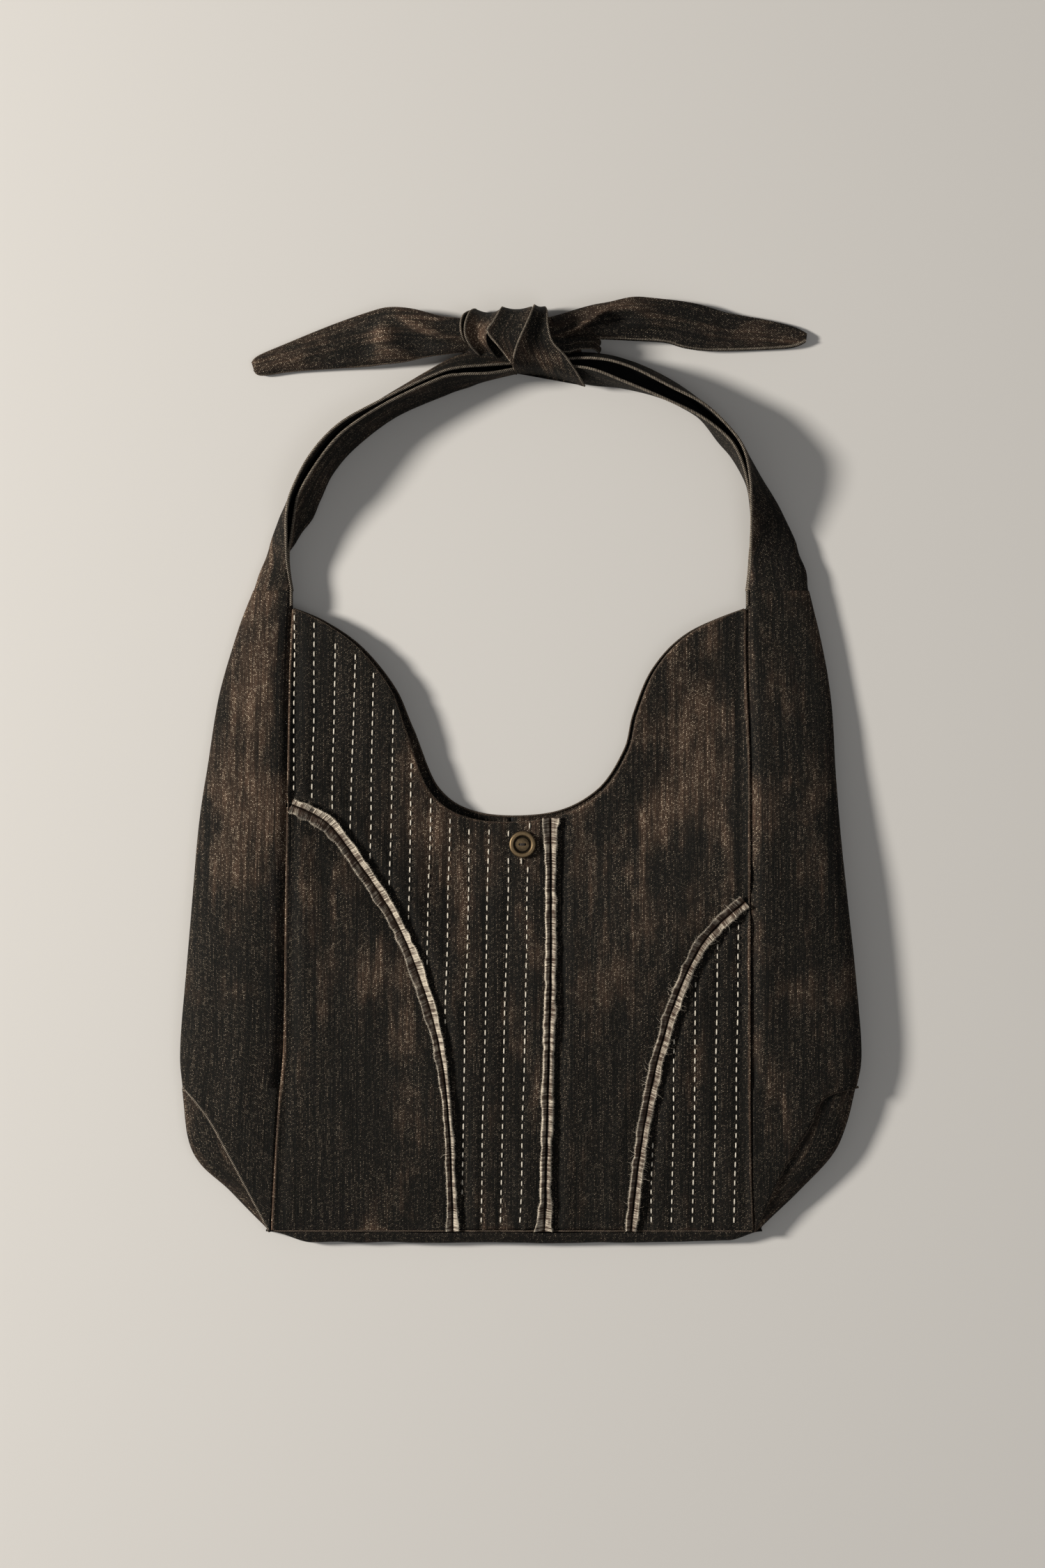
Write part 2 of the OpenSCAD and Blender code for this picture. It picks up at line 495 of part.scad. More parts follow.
front_left_lower();
front_left_centre();
front_right_centre();
front_right_lower();
raw_seam_left();
raw_seam_centre();
raw_seam_right();
quilting_left();
quilting_right();
front_facing();
front_lining();
snap_socket();
snap_socket_washer();
button();
button_thread();
back_left();
back_right();
back_facing();
back_lining();
gusset_left();
gusset_right();
base_end_left();
base_end_right();
base_panel();
snap_stud();
snap_stud_washer();
strap_left();
strap_right();
strap_facing_left();
strap_facing_right();
knot_collar();
knot_cross();
knot_core();
tail_left();
tail_right();
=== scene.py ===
import math

import bpy
import numpy as np
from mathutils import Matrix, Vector


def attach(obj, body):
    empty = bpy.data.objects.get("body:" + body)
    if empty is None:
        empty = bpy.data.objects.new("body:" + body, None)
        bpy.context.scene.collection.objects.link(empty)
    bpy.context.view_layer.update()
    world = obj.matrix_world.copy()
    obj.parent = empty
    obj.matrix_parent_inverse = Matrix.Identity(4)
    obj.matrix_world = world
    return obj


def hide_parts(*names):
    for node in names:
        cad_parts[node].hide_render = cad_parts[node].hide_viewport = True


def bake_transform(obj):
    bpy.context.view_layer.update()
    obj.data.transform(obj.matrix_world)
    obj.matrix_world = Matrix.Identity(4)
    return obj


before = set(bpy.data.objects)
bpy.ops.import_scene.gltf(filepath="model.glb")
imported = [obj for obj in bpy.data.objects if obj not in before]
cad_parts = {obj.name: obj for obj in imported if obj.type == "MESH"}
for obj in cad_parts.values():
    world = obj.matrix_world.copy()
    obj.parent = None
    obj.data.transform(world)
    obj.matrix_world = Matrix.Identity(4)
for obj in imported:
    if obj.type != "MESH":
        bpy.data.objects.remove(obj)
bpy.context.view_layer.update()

# Lengths here are in millimetres, and MM turns them into the frame's metres.
MM = 0.001


# ---- Camera: straight down on the bag, with the bag's top upwards ----
VIEW_HEIGHT = 1012.5
VIEW_CENTRE = (2, -7)
FOCAL = 85.0
SENSOR = 36.0
FOCUS_Z = 12.0
camera_data = bpy.data.cameras.new("camera")
camera_data.lens = FOCAL
camera_data.sensor_width = SENSOR
camera = bpy.data.objects.new("camera", camera_data)
camera.location = (*(MM * c for c in VIEW_CENTRE), (FOCUS_Z + VIEW_HEIGHT * FOCAL / SENSOR) * MM)
bpy.context.scene.collection.objects.link(camera)
bpy.context.scene.camera = camera


# ---- Curves ----
def xyz(*parts):
    """Points from their coordinates, or faces from their corners, each an array or one number."""
    return np.stack(np.broadcast_arrays(*parts), -1)


def on_curve(points, s):
    """Points of the smooth curve through a list of points, at s from 0 to the last point's index."""
    p = np.asarray(points, float)
    s = np.asarray(s, float)
    last = len(p) - 1
    k = np.clip(np.floor(s).astype(int), 0, last - 1)
    t = (s - k)[..., None]
    a, b, c, d = p[np.maximum(k - 1, 0)], p[k], p[k + 1], p[np.minimum(k + 2, last)]
    return 0.5 * (2 * b + (c - a) * t + (2 * a - 5 * b + 4 * c - d) * t**2 + (3 * b - a - 3 * c + d) * t**3)


def whole(points, per_span=12):
    return on_curve(points, np.linspace(0, len(points) - 1, per_span * (len(points) - 1) + 1))


def lengths(path):
    """Distance along a path at each of its points."""
    return np.concatenate([[0], np.cumsum(np.linalg.norm(np.diff(path, axis=0), axis=1))])


def resampled(path, step):
    """A path's points again, a step apart."""
    along = lengths(path)
    at = np.linspace(0, along[-1], max(int(along[-1] / step), 2) + 1)
    return np.stack([np.interp(at, along, path[:, i]) for i in range(path.shape[1])], -1)


def directions(path):
    """Unit direction of a path at each of its points."""
    d = np.gradient(path, axis=0)
    return d / np.maximum(np.linalg.norm(d, axis=1, keepdims=True), 1e-9)


def smooth(t):
    t = np.clip(t, 0, 1)
    return t * t * (3 - 2 * t)


def bump(distance, width):
    """1 at no distance, falling to nearly 0 at twice the width."""
    return np.exp(-((distance / width) ** 2))


def x_on(line, y):
    """x of an upward line at y."""
    return np.interp(y, line[:, 1], line[:, 0])


def distance_to(path, x, y):
    """Distance in plan from each point to a path, and the index of the path's nearest point."""
    flat = xyz(np.ravel(x), np.ravel(y))
    best, at = [], []
    for part in np.array_split(flat, max(len(flat) // 4000, 1)):
        d = np.linalg.norm(part[:, None] - path[None, :, :2], axis=2)
        best.append(d.min(1))
        at.append(d.argmin(1))
    return np.concatenate(best).reshape(np.shape(x)), np.concatenate(at).reshape(np.shape(x))


# ---- Noise: the same on every run ----
def lattice(i, j, seed):
    n = (i.astype(np.int64) * 374761393 + j.astype(np.int64) * 668265263 + seed * 974634777) & 0xFFFFFFFF
    n = ((n ^ (n >> 13)) * 1274126177) & 0xFFFFFFFF
    return ((n ^ (n >> 16)) & 0xFFFF) / 32767.5 - 1


def noise(x, y, size, seed=1):
    """Smooth noise from -1 to 1. size is one length, or one across and one along."""
    across, along = size if isinstance(size, tuple) else (size, size)
    u, v = np.asarray(x, float) / across, np.asarray(y, float) / along
    i, j = np.floor(u), np.floor(v)
    s, t = smooth(u - i), smooth(v - j)
    low = lattice(i, j, seed) * (1 - s) + lattice(i + 1, j, seed) * s
    high = lattice(i, j + 1, seed) * (1 - s) + lattice(i + 1, j + 1, seed) * s
    return low * (1 - t) + high * t


# ---- Outlines of the bag, as in the design. Each runs upwards, and the mouth from the left. ----
EDGE_LEFT = whole([(-161.5, -297), (-187, -271), (-211, -245), (-218, -203), (-220, -176), (-216, -122),
                   (-208, -41), (-203, 0), (-194, 54), (-176, 108), (-168, 128)])
EDGE_RIGHT = whole([(154, -297), (180, -271), (206, -242), (217, -203), (220, -176), (215, -122),
                    (208, -41), (205, 0), (201, 54), (190, 108), (184, 128)])
SEAM_LEFT = whole([(-161, -296), (-156, -219), (-152, -172), (-151, -90), (-150, -14), (-149, 60),
                   (-147, 107)])
SEAM_RIGHT = whole([(152, -296), (150, -252), (149, -165), (149, -57), (149, 6), (147, 69), (147, 107)])
HEM_LEFT = whole([(-162, -295), (-180, -260), (-197, -228), (-206, -215), (-217, -203)])
HEM_RIGHT = whole([(153, -295), (170, -256), (187, -228), (197, -209), (219, -203)])
CURVE_LEFT = whole([(-43, -296), (-45, -235), (-50, -184), (-61, -140), (-80, -94), (-107, -53),
                    (-125, -31), (-149, -19)])
CURVE_RIGHT = whole([(72, -296), (77, -248), (87, -191), (101, -143), (120, -106), (148, -80)])
CENTRE = whole([(16, -296), (18, -210), (20, -120), (20, -29)])
MOUTH_POINTS = [(-147, 107), (-126, 97), (-103, 80), (-83, 54), (-73, 27), (-57, -13), (-28, -30),
                (20, -29), (52, -13), (70, 14), (76, 38), (88, 67), (110, 90), (147, 107)]
MOUTH = whole(MOUTH_POINTS)
MOUTH_SEAM = 7
MOUTH_END = len(MOUTH_POINTS) - 1
BOTTOM = -296.0
ROOT_Y = 118.0
BASE_FOLD = -238.0
BODY_H = 25.0
CROWN = 3.0
MOUTH_H = 12.0
DENIM = 1.2
LINING = 0.6
BUTTON = (2.0, -46.0)
SEAM_HEIGHT = whole([(-296, 11), (-250, 0.76 * BODY_H), (-150, BODY_H), (-50, BODY_H), (30, 0.8 * BODY_H),
                     (107, 15), (128, 13)])


def front_z(x, y):
    """Height of the top of the front in the design."""
    full = np.interp(y, SEAM_HEIGHT[:, 0], SEAM_HEIGHT[:, 1])
    full = full + CROWN * (1 - (x / 150) ** 2) * smooth((y - BOTTOM) / 90)
    lip = MOUTH_H + 3 * smooth((np.abs(x) - 25) / 55)
    near, _ = distance_to(MOUTH, x, y)
    return lip + (full - lip) * smooth((near - 30) / 84)


def back_z(y):
    """Height of the back, which lies over the folded base at the bottom."""
    return 3.3 * smooth((BASE_FOLD + 16 - y) / 14)


# ---- Quilting rows of the front: where they run ----
ROW_PITCH = 12.75
RIGHT_PITCH = 13.4
ROW_LEAN = 0.022
STITCH_PERIOD = 6.1
LEFT_ROWS = range(13)
RIGHT_ROWS = range(5)


def left_row_x(k, y):
    """x of row k at y. The rows lean a little, the outer ones less."""
    lean = ROW_LEAN * min((k + 1) / 4, 1)
    return -145.6 + ROW_PITCH * k - lean * (20 - y) + 0.5 * noise(y, 0 * y + 7 * k, (38, 1), 5)


def right_row_x(k, y):
    return 87.0 + RIGHT_PITCH * k - 0.01 * (-100 - y) + 0.4 * noise(y, 0 * y + 9 * k, (38, 1), 6)


def row_channels(x, y, rows, row_x):
    """Depth of the cloth between rows of stitches: valleys at the rows, pillows between them."""
    near = np.min([np.abs(x - row_x(k, y)) for k in rows], axis=0)
    ticks = 0.75 + 0.25 * np.cos(2 * np.pi * y / STITCH_PERIOD)
    return 0.35 * smooth(near / 5) - 0.55 * bump(near, 1.5) * ticks


SEAMS = [CURVE_LEFT, CENTRE, CURVE_RIGHT]


def drape(x, y):
    """The soft unevenness of the front's cloth."""
    z = 1.3 * noise(x, y, (46, 150), 11) + 0.65 * noise(x + 0.1 * y, y, (19, 70), 12)
    z = z + 0.16 * noise(x, y, (7, 22), 13)
    side = np.minimum(x - x_on(SEAM_LEFT, y), x_on(SEAM_RIGHT, y) - x)
    z = z * smooth(side / 14) + 0.5 * bump(side - 12, 5) * (0.7 + 0.6 * noise(x, y, (30, 24), 14))
    z = z - 0.8 * bump(side - 5.5, 3.5) + 0.5 * bump(side - 1.2, 1.8)
    foot = y - BOTTOM
    z = z * smooth(foot / 12) + 0.35 * bump(foot - 7, 5) * noise(x, y, (15, 30), 15)
    lip, _ = distance_to(MOUTH, x, y)
    return z * (0.25 + 0.75 * smooth(lip / 40))


def beside_seams(x, y):
    """How near each point is to the shaded valley to the right of a raw seam, from 0 to 1."""
    near = [distance_to(seam, x, y)[0] + 40 * side_of(seam, x, y) for seam in SEAMS]
    return bump(np.min(near, axis=0) - 7, 5)


def seam_dip(x, y):
    """Valleys of the cloth along the raw seams, with a puckered swelling beside them."""
    z = -0.9 * beside_seams(x, y)
    for n, seam in enumerate(SEAMS):
        near, at = distance_to(seam, x, y)
        z = z - 0.9 * bump(near, 4) + 0.5 * bump(near - 14, 5) * (1 + 0.8 * noise(at, 0 * at, (9, 1), 20 + n))
    return z


def side_of(seam, x, y):
    """True to the left of an upward seam."""
    return x < x_on(seam, y)


def quilted_left(x, y):
    past_curve = (y > CURVE_LEFT[-1, 1]) | ~side_of(CURVE_LEFT, x, y)
    return past_curve & ((y > -20) & (x < 0) | side_of(CENTRE, x, y))


def front_surface(x, y):
    """Height of the finished front at each point of the plan."""
    z = front_z(x, y) + drape(x, y) + seam_dip(x, y)
    quilt = row_channels(x, y, LEFT_ROWS, left_row_x) * quilted_left(x, y)
    in_right = (y < CURVE_RIGHT[-1, 1]) & ~side_of(CURVE_RIGHT, x, y)
    return z + quilt + row_channels(x, y, RIGHT_ROWS, right_row_x) * in_right


# ---- Mesh building ----
def add_object(name, verts, quads, tris=(), uv=None, wear_and_light=None, flat=None):
    """A mesh object from points in millimetres. uv is one place on the cloth for each point, in
    millimetres; the argument after uv is how rubbed each point is, with painted highlights and shade
    added in places; flat marks the quads that aren't shaded smooth."""
    verts = np.asarray(verts, float).reshape(-1, 3)
    quads = np.asarray(quads, int)
    tris = np.asarray(tris, int)
    corners = np.concatenate([quads.ravel(), tris.ravel()])
    totals = np.concatenate([np.full(len(quads), 4), np.full(len(tris), 3)])
    mesh = bpy.data.meshes.new(name)
    mesh.vertices.add(len(verts))
    mesh.vertices.foreach_set("co", (verts * MM).ravel())
    mesh.loops.add(len(corners))
    mesh.loops.foreach_set("vertex_index", corners)
    mesh.polygons.add(len(totals))
    mesh.polygons.foreach_set("loop_start", np.concatenate([[0], np.cumsum(totals)[:-1]]))
    mesh.update(calc_edges=True)
    mesh.polygons.foreach_set("use_smooth", np.ones(len(totals), bool) if flat is None else ~flat)
    if uv is not None:
        layer = mesh.uv_layers.new(name="cloth")
        layer.data.foreach_set("uv", (np.asarray(uv, float).reshape(-1, 2)[corners] * MM).ravel())
    if wear_and_light is not None:
        layer = mesh.attributes.new("wear_and_light", "FLOAT", "POINT")
        layer.data.foreach_set("value", np.ravel(wear_and_light).astype(np.float32))
    mesh.validate()
    obj = bpy.data.objects.new(name, mesh)
    bpy.context.scene.collection.objects.link(obj)
    return obj


def grid_quads(rows, cols, wrap=False):
    """Quads of a grid of points. wrap joins the last column to the first."""
    low = np.arange(rows - 1)[:, None] * cols
    left = np.arange(cols if wrap else cols - 1)
    right = (left + 1) % cols
    return xyz(low + left, low + right, low + cols + right, low + cols + left).reshape(-1, 4)


def grid_normals(points):
    along, across = np.gradient(points, axis=(0, 1))
    normals = np.cross(across, along)
    return normals / np.maximum(np.linalg.norm(normals, axis=2, keepdims=True), 1e-9)


def shell(name, outer, thickness, uv, wear_and_light=0.0, flip=False):
    """A sheet of cloth with its outer face on a grid of points: rows upwards, columns to the right."""
    rows, cols = outer.shape[:2]
    inner = outer - grid_normals(outer) * (-1 if flip else 1) * thickness
    count = rows * cols
    faces = grid_quads(rows, cols)
    index = np.arange(count).reshape(rows, cols)
    rim = np.concatenate([index[0, :], index[1:, -1], index[-1, -2::-1], index[-2:0:-1, 0]])
    ahead = np.roll(rim, -1)
    quads = np.concatenate([faces, faces[:, ::-1] + count, xyz(rim, rim + count, ahead + count, ahead)])
    if flip:
        quads = quads[:, ::-1]
    flat = np.arange(len(quads)) >= len(quads) - len(rim)
    wear_and_light = np.broadcast_to(wear_and_light, (rows, cols)).ravel()
    return add_object(name, np.concatenate([outer.reshape(-1, 3), inner.reshape(-1, 3)]), quads,
                      uv=np.concatenate([uv.reshape(-1, 2)] * 2), wear_and_light=np.concatenate([wear_and_light, wear_and_light * 0.3]),
                      flat=flat)


def end_fans(count, last):
    """Triangles that close the two ends of a tube, whose last ring starts at point last."""
    fan = np.array([[0, k, k + 1] for k in range(1, count - 1)])
    return np.concatenate([fan, last + fan[:, ::-1]])


def tube_parts(path, radius, sides=8, ribs=0.0, pitch=1.1, squash_up=1.0):
    """Points, quads, end triangles, places on the cloth and rib heights of a round or twisted tube."""
    along = directions(path)
    side = np.cross(along, (0.0, 0.0, 1.0))
    side = side / np.maximum(np.linalg.norm(side, axis=1, keepdims=True), 1e-6)
    over = np.cross(side, along)
    turn = 2 * np.pi * np.arange(sides) / sides
    at = lengths(path)[:, None]
    twist = np.cos(2 * turn + 2 * np.pi * at / pitch) if ribs else 0 * (turn + at)
    r = np.broadcast_to(radius, len(path))[:, None] * (1 + ribs * twist)
    points = path[:, None] + side[:, None] * (r * np.cos(turn))[..., None]
    points = points + over[:, None] * (r * squash_up * np.sin(turn))[..., None]
    quads = grid_quads(len(path), sides, wrap=True)
    tris = end_fans(sides, (len(path) - 1) * sides)
    return points.reshape(-1, 3), quads, tris, xyz(turn * 2, at).reshape(-1, 2), twist.ravel()


def joined(name, parts):
    """One object from many parts, each of points, quads, triangles, places, and the wear and painted light of
    its points.
    """
    points, quads, tris, uv, wear_and_light = zip(*parts)
    starts = np.cumsum([0, *map(len, points[:-1])])
    quads = [four + start for four, start in zip(quads, starts)]
    tris = [three + start for three, start in zip(tris, starts)]
    return add_object(name, *map(np.concatenate, (points, quads, tris, uv, wear_and_light)))


def finish_piece(obj, material, node, body=None):
    """Material, the node that a piece stands for, and its body."""
    obj.data.materials.clear()
    obj.data.materials.append(material)
    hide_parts(node)
    if body:
        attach(obj, body)


# ---- Materials ----
def operation(kind):
    """A method of Value that makes one math node."""
    return lambda self, other=0.0: self.shader.math(kind, self, other)


class Value:
    """A number in a material's nodes. Sums, products and the rest make math nodes."""

    def __init__(self, shader, socket):
        self.shader = shader
        self.socket = socket

    __add__ = __radd__ = operation("ADD")
    __mul__ = __rmul__ = operation("MULTIPLY")
    __sub__ = operation("SUBTRACT")
    __truediv__ = operation("DIVIDE")
    __pow__ = operation("POWER")
    floor = operation("FLOOR")
    fract = operation("FRACT")
    nearest = operation("ROUND")
    sine = operation("SINE")
    cosine = operation("COSINE")

    def ramp(self, low, high):
        """0 below low and 1 above high, smoothly."""
        inputs = {0: self, 1: low, 2: high}
        made = self.shader.node("MapRange", inputs, interpolation_type="SMOOTHSTEP")
        return Value(self.shader, made.outputs[0])

    def clamped(self):
        """The same number, kept between 0 and 1."""
        self.socket.node.use_clamp = True
        return self


class Shader:
    """Short calls that build one material's nodes. turn is how far its weave is turned on the cloth."""

    def __init__(self, name, turn=0.0):
        self.material = bpy.data.materials.new(name)
        self.material.use_nodes = True
        self.tree = self.material.node_tree
        self.main = self.tree.nodes["Principled BSDF"]
        self.turn = turn

    def feed(self, socket, value):
        """Link or set an input."""
        if isinstance(value, Value):
            value = value.socket
        if isinstance(value, bpy.types.NodeSocket):
            self.tree.links.new(value, socket)
        else:
            socket.default_value = (*value, 1) if socket.type == "RGBA" else value

    def node(self, kind, inputs=(), **settings):
        made = self.tree.nodes.new("ShaderNode" + kind)
        for key, value in settings.items():
            setattr(made, key, value)
        for key, value in dict(inputs).items():
            self.feed(made.inputs[key], value)
        return made

    def math(self, kind, a, b):
        return Value(self, self.node("Math", {0: a, 1: b}, operation=kind).outputs[0])

    def mix(self, factor, a, b):
        """A colour between two."""
        made = self.node("Mix", data_type="RGBA")
        for socket, value in zip([s for s in made.inputs if s.enabled], (factor, a, b)):
            self.feed(socket, value)
        return next(s for s in made.outputs if s.enabled)

    def noise(self, place, scale, detail, rough):
        inputs = {"Vector": place, "Scale": scale, "Detail": detail, "Roughness": rough}
        return Value(self, self.node("TexNoise", inputs).outputs["Fac"])

    def cloth_place(self, across=1000, along=1000):
        """Place on the cloth, with so many units to the metre each way: millimetres, unless told."""
        uv = self.node("UVMap", uv_map="cloth").outputs[0]
        inputs = {"Vector": uv, "Rotation": (0, 0, self.turn), "Scale": (across, along, 1000)}
        return self.node("Mapping", inputs).outputs[0]

    def cloth(self):
        """Millimetres across and along the cloth."""
        split = self.node("SeparateXYZ", {0: self.cloth_place()})
        return Value(self, split.outputs[0]), Value(self, split.outputs[1])

    def grain(self, across, along, detail=2.0, rough=0.5):
        """Noise on the cloth, with so many changes to the metre across and along."""
        return self.noise(self.cloth_place(across, along), 1.0, detail, rough)

    # The cloth's wear attribute: rubbed wear, with the painted highlights and shade that the pieces add to
    # it.
    def wear_and_light(self):
        return Value(self, self.node("Attribute", attribute_name="wear_and_light").outputs["Fac"])

    def finish(self, color, height, distance, roughness, **constants):
        """The material, with its bump that many metres high."""
        self.feed(self.main.inputs["Base Color"], color)
        self.feed(self.main.inputs["Roughness"], roughness)
        normal = self.node("Bump", {"Height": height, "Distance": distance, "Strength": 1.0})
        self.feed(self.main.inputs["Normal"], normal.outputs[0])
        for key, value in constants.items():
            self.feed(self.main.inputs[key.replace("_", " ")], value)
        return self.material


FLECK_ACROSS = 0.96
FLECK_ALONG = 1.15
FLECK_RADIUS = 0.36
RIB_PITCH = 0.8
DARK = (0.005, 0.0048, 0.0039)
BROWN = (0.108, 0.064, 0.041)
PALE_BROWN = tuple(1.5 * c for c in BROWN)
CREAM = (0.72, 0.58, 0.42)


def denim_material(name, turn=0.0):
    """Overdyed twill: near-black warp threads with cream and brown flecks of weft on the twill's
    diagonals, slubs along the warp, and a mottled wash."""
    s = Shader(name, turn)
    x, y = s.cloth()
    across = x / FLECK_ACROSS
    column = across.floor()
    along = y / FLECK_ALONG + column / 3.0
    cell = s.node("CombineXYZ", {0: column, 1: along.floor()}).outputs[0]
    random = s.node("TexWhiteNoise", {"Vector": cell}, noise_dimensions="2D").outputs["Color"]
    split = s.node("SeparateColor", {0: random})
    shift_x, shift_y, chance = (Value(s, socket) for socket in split.outputs)
    fx = (across.fract() - (shift_x * 0.24 + 0.38)) * FLECK_ACROSS
    fy = (along.fract() - (shift_y * 0.24 + 0.38)) * FLECK_ALONG
    slant = fx - fy * 0.22
    far = slant * slant + fy * fy * 0.75
    dot = (far / FLECK_RADIUS**2).ramp(1.1, 0.25)
    twill = (y * (2 * math.pi / FLECK_ALONG) + x * (2 * math.pi / FLECK_ACROSS / 1.5)).sine()
    hatch = twill * 0.5 + 0.5
    slub = s.grain(1050, 40, 1.0)
    stripe = s.grain(330, 8, 1.0).ramp(0.3, 0.68)
    patch = s.grain(34, 19, 3.0, 0.6)
    mottle = s.grain(120, 60, 3.0, 0.6)
    # The wear attribute brings painted highlights and shade into the tone, as well as rubbed wear.
    tone = patch * 1.15 + mottle * 0.35 + s.grain(230, 11) * 0.45 + s.wear_and_light() * 0.5
    tone = tone.ramp(0.9, 1.54)
    thread = (slub * 1.1 + 0.1) * (stripe * 0.6 + 0.65)
    warp = s.mix(tone * (thread * (hatch * 0.75 + 0.45)), DARK, BROWN)
    weft = s.mix(chance**2.2, PALE_BROWN, CREAM)
    strong = (tone * 0.85 + 0.24) * (stripe + 0.3) * (chance * 1.1 + 0.15)
    shown = (dot * strong * slub.ramp(0.22, 0.62)).clamped()
    height = hatch * 0.35 + dot * 0.45 + slub * 0.9
    return s.finish(s.mix(shown, warp, weft), height, 0.0003, 0.85, Specular_IOR_Level=0.14)


def beaded_material(name, hollow, crest):
    """Folded edge of the denim: twisted ridges, with cream weft and a painted highlight on their crests, and
    gaps in the colour.
    """
    s = Shader(name)
    grime = s.grain(700, 420, 3.0, 0.65)
    # A painted highlight on the rib crests, from the rib heights that the tubes carry in the wear attribute,
    # broken up by noise.
    light = s.wear_and_light().ramp(-0.35, 0.9) * grime.ramp(0.25, 0.7) * (s.grain(20, 60) * 1.3 + 0.25)
    return s.finish(s.mix(light.clamped(), hollow, crest), grime, 0.0001, 0.85, Specular_IOR_Level=0.2)


def raw_edge_material():
    """Frayed cut edge: ribs of cream weft across the strip, brown between them."""
    s = Shader("frayed_edge")
    across, along = s.cloth()
    run = along * (2 * math.pi / RIB_PITCH) + across * 1.3 + s.grain(300, 300) * 7.0
    each = s.node("TexWhiteNoise", {"W": (run / (2 * math.pi)).nearest()}, noise_dimensions="1D")
    each = Value(s, each.outputs["Value"])
    rib = run.cosine() * 0.5 + 0.5
    light = (s.wear_and_light() + s.grain(500, 120, 3.0, 0.6) * 0.7) * (each * 0.75 + 0.55)
    light = ((light - 0.28) * (rib * 0.95 + 0.15)).clamped()
    color = s.mix(light.ramp(0.0, 0.9), (0.055, 0.034, 0.024), (0.78, 0.69, 0.55))
    return s.finish(color, rib, 0.0002, 0.92, Specular_IOR_Level=0.15)


def thread_material(name, color, shade):
    """Twisted sewing thread."""
    s = Shader(name)
    across, along = s.cloth()
    ply = (along * 7.0 + across * 2.0).sine() * 0.5 + 0.5
    mixed = s.mix((ply * (s.grain(2500, 900) + 0.4)).clamped(), shade, color)
    return s.finish(mixed, ply, 0.00008, 0.75, Specular_IOR_Level=0.3, Sheen_Weight=0.1)


def lining_material():
    """Plain black cotton with a fine square weave."""
    s = Shader("black_cotton")
    across, along = s.cloth()
    wave = 2 * math.pi / 0.45
    over = (across * wave).sine() * (along * wave).sine() * 0.5 + 0.5
    color = s.mix(over * s.grain(40, 40, 3.0), (0.006, 0.006, 0.006), (0.024, 0.022, 0.021))
    return s.finish(color, over, 0.0001, 0.9, Specular_IOR_Level=0.15)


def metal_material(name, worn, tarnish, low, high, roughness):
    """Metal that is dark in its hollows and rubbed bright on its rims."""
    s = Shader(name)
    place = s.node("TexCoord").outputs["Object"]
    stain = s.noise(place, 420.0, 4.0, 0.65)
    grit = s.noise(place, 2600.0, 3.0, 0.6)
    color = s.mix((stain * 0.6 + s.wear_and_light()).ramp(low, high), tarnish, worn)
    return s.finish(color, grit, 0.00006, grit * 0.25 + roughness, Metallic=0.85)


denim = denim_material("black_denim")
denim_turned = denim_material("black_denim_turned", math.pi / 2)
strap_denim = denim_material("strap_denim", 0.5)
# The last colour of each is the rib crests' cream with its painted highlight.
edge_denim = beaded_material("folded_edge", (0.012, 0.009, 0.007), (0.3, 0.22, 0.155))
rail_denim = beaded_material("strap_rail", (0.016, 0.012, 0.009), (0.62, 0.52, 0.4))
frayed = raw_edge_material()
white_thread = thread_material("white_thread", (0.86, 0.8, 0.68), (0.5, 0.44, 0.35))
brown_thread = thread_material("brown_thread", (0.05, 0.035, 0.025), (0.012, 0.009, 0.007))
cotton = lining_material()
old_brass = metal_material("old_brass", (0.2, 0.14, 0.075), (0.026, 0.019, 0.011), 0.35, 1.2, 0.36)
new_brass = metal_material("new_brass", (0.6, 0.45, 0.22), (0.3, 0.2, 0.09), 0.1, 0.5, 0.25)
steel = metal_material("plain_steel", (0.5, 0.5, 0.49), (0.25, 0.25, 0.25), 0.1, 0.5, 0.35)


# ---- Front panels ----
# Size of a panel's mesh cells, and distances of the closer lines of points from its edges
CELL = 2.0
EDGE_STEPS = np.array([0.0, 0.25, 0.7, 1.4, 2.4])
EDGE_ROLL = 0.9
GAP = 0.3
# Places of the front that are rubbed more or less: by how much, x, y, and reach across and along
RUBBED = [(0.35, -52, -45, 32, 60), (-0.8, -115, 50, 40, 60), (0.45, 112, 15, 28, 60),
          (0.05, -95, -190, 30, 60)]


def across_columns(left, right):
    """x of each column for rows from left to right, close together at both edges."""
    width = right - left
    t = np.linspace(0, 1, max(int(width.max() / CELL), 4))
    margin = np.minimum(EDGE_STEPS[-1], width / 3)
    near = EDGE_STEPS / EDGE_STEPS[-1]
    inner = left + margin + t * (width - 2 * margin)
    return np.concatenate([left + margin * near[:-1], inner, right - margin * near[-2::-1]], 1)


def edge_drop(distance):
    """How far a turned-in edge rolls down, by the distance from the edge."""
    inside = np.clip(1 - distance / EDGE_ROLL, 0, 1)
    return EDGE_ROLL * (1 - np.sqrt(1 - inside**2))


def levels(low, high):
    """Heights from low to high, close together at both ends."""
    inner = np.linspace(low + EDGE_STEPS[-1], high - EDGE_STEPS[-1], max(int((high - low) / CELL), 3))
    return np.concatenate([low + EDGE_STEPS[:-1], inner, high - EDGE_STEPS[-2::-1]])


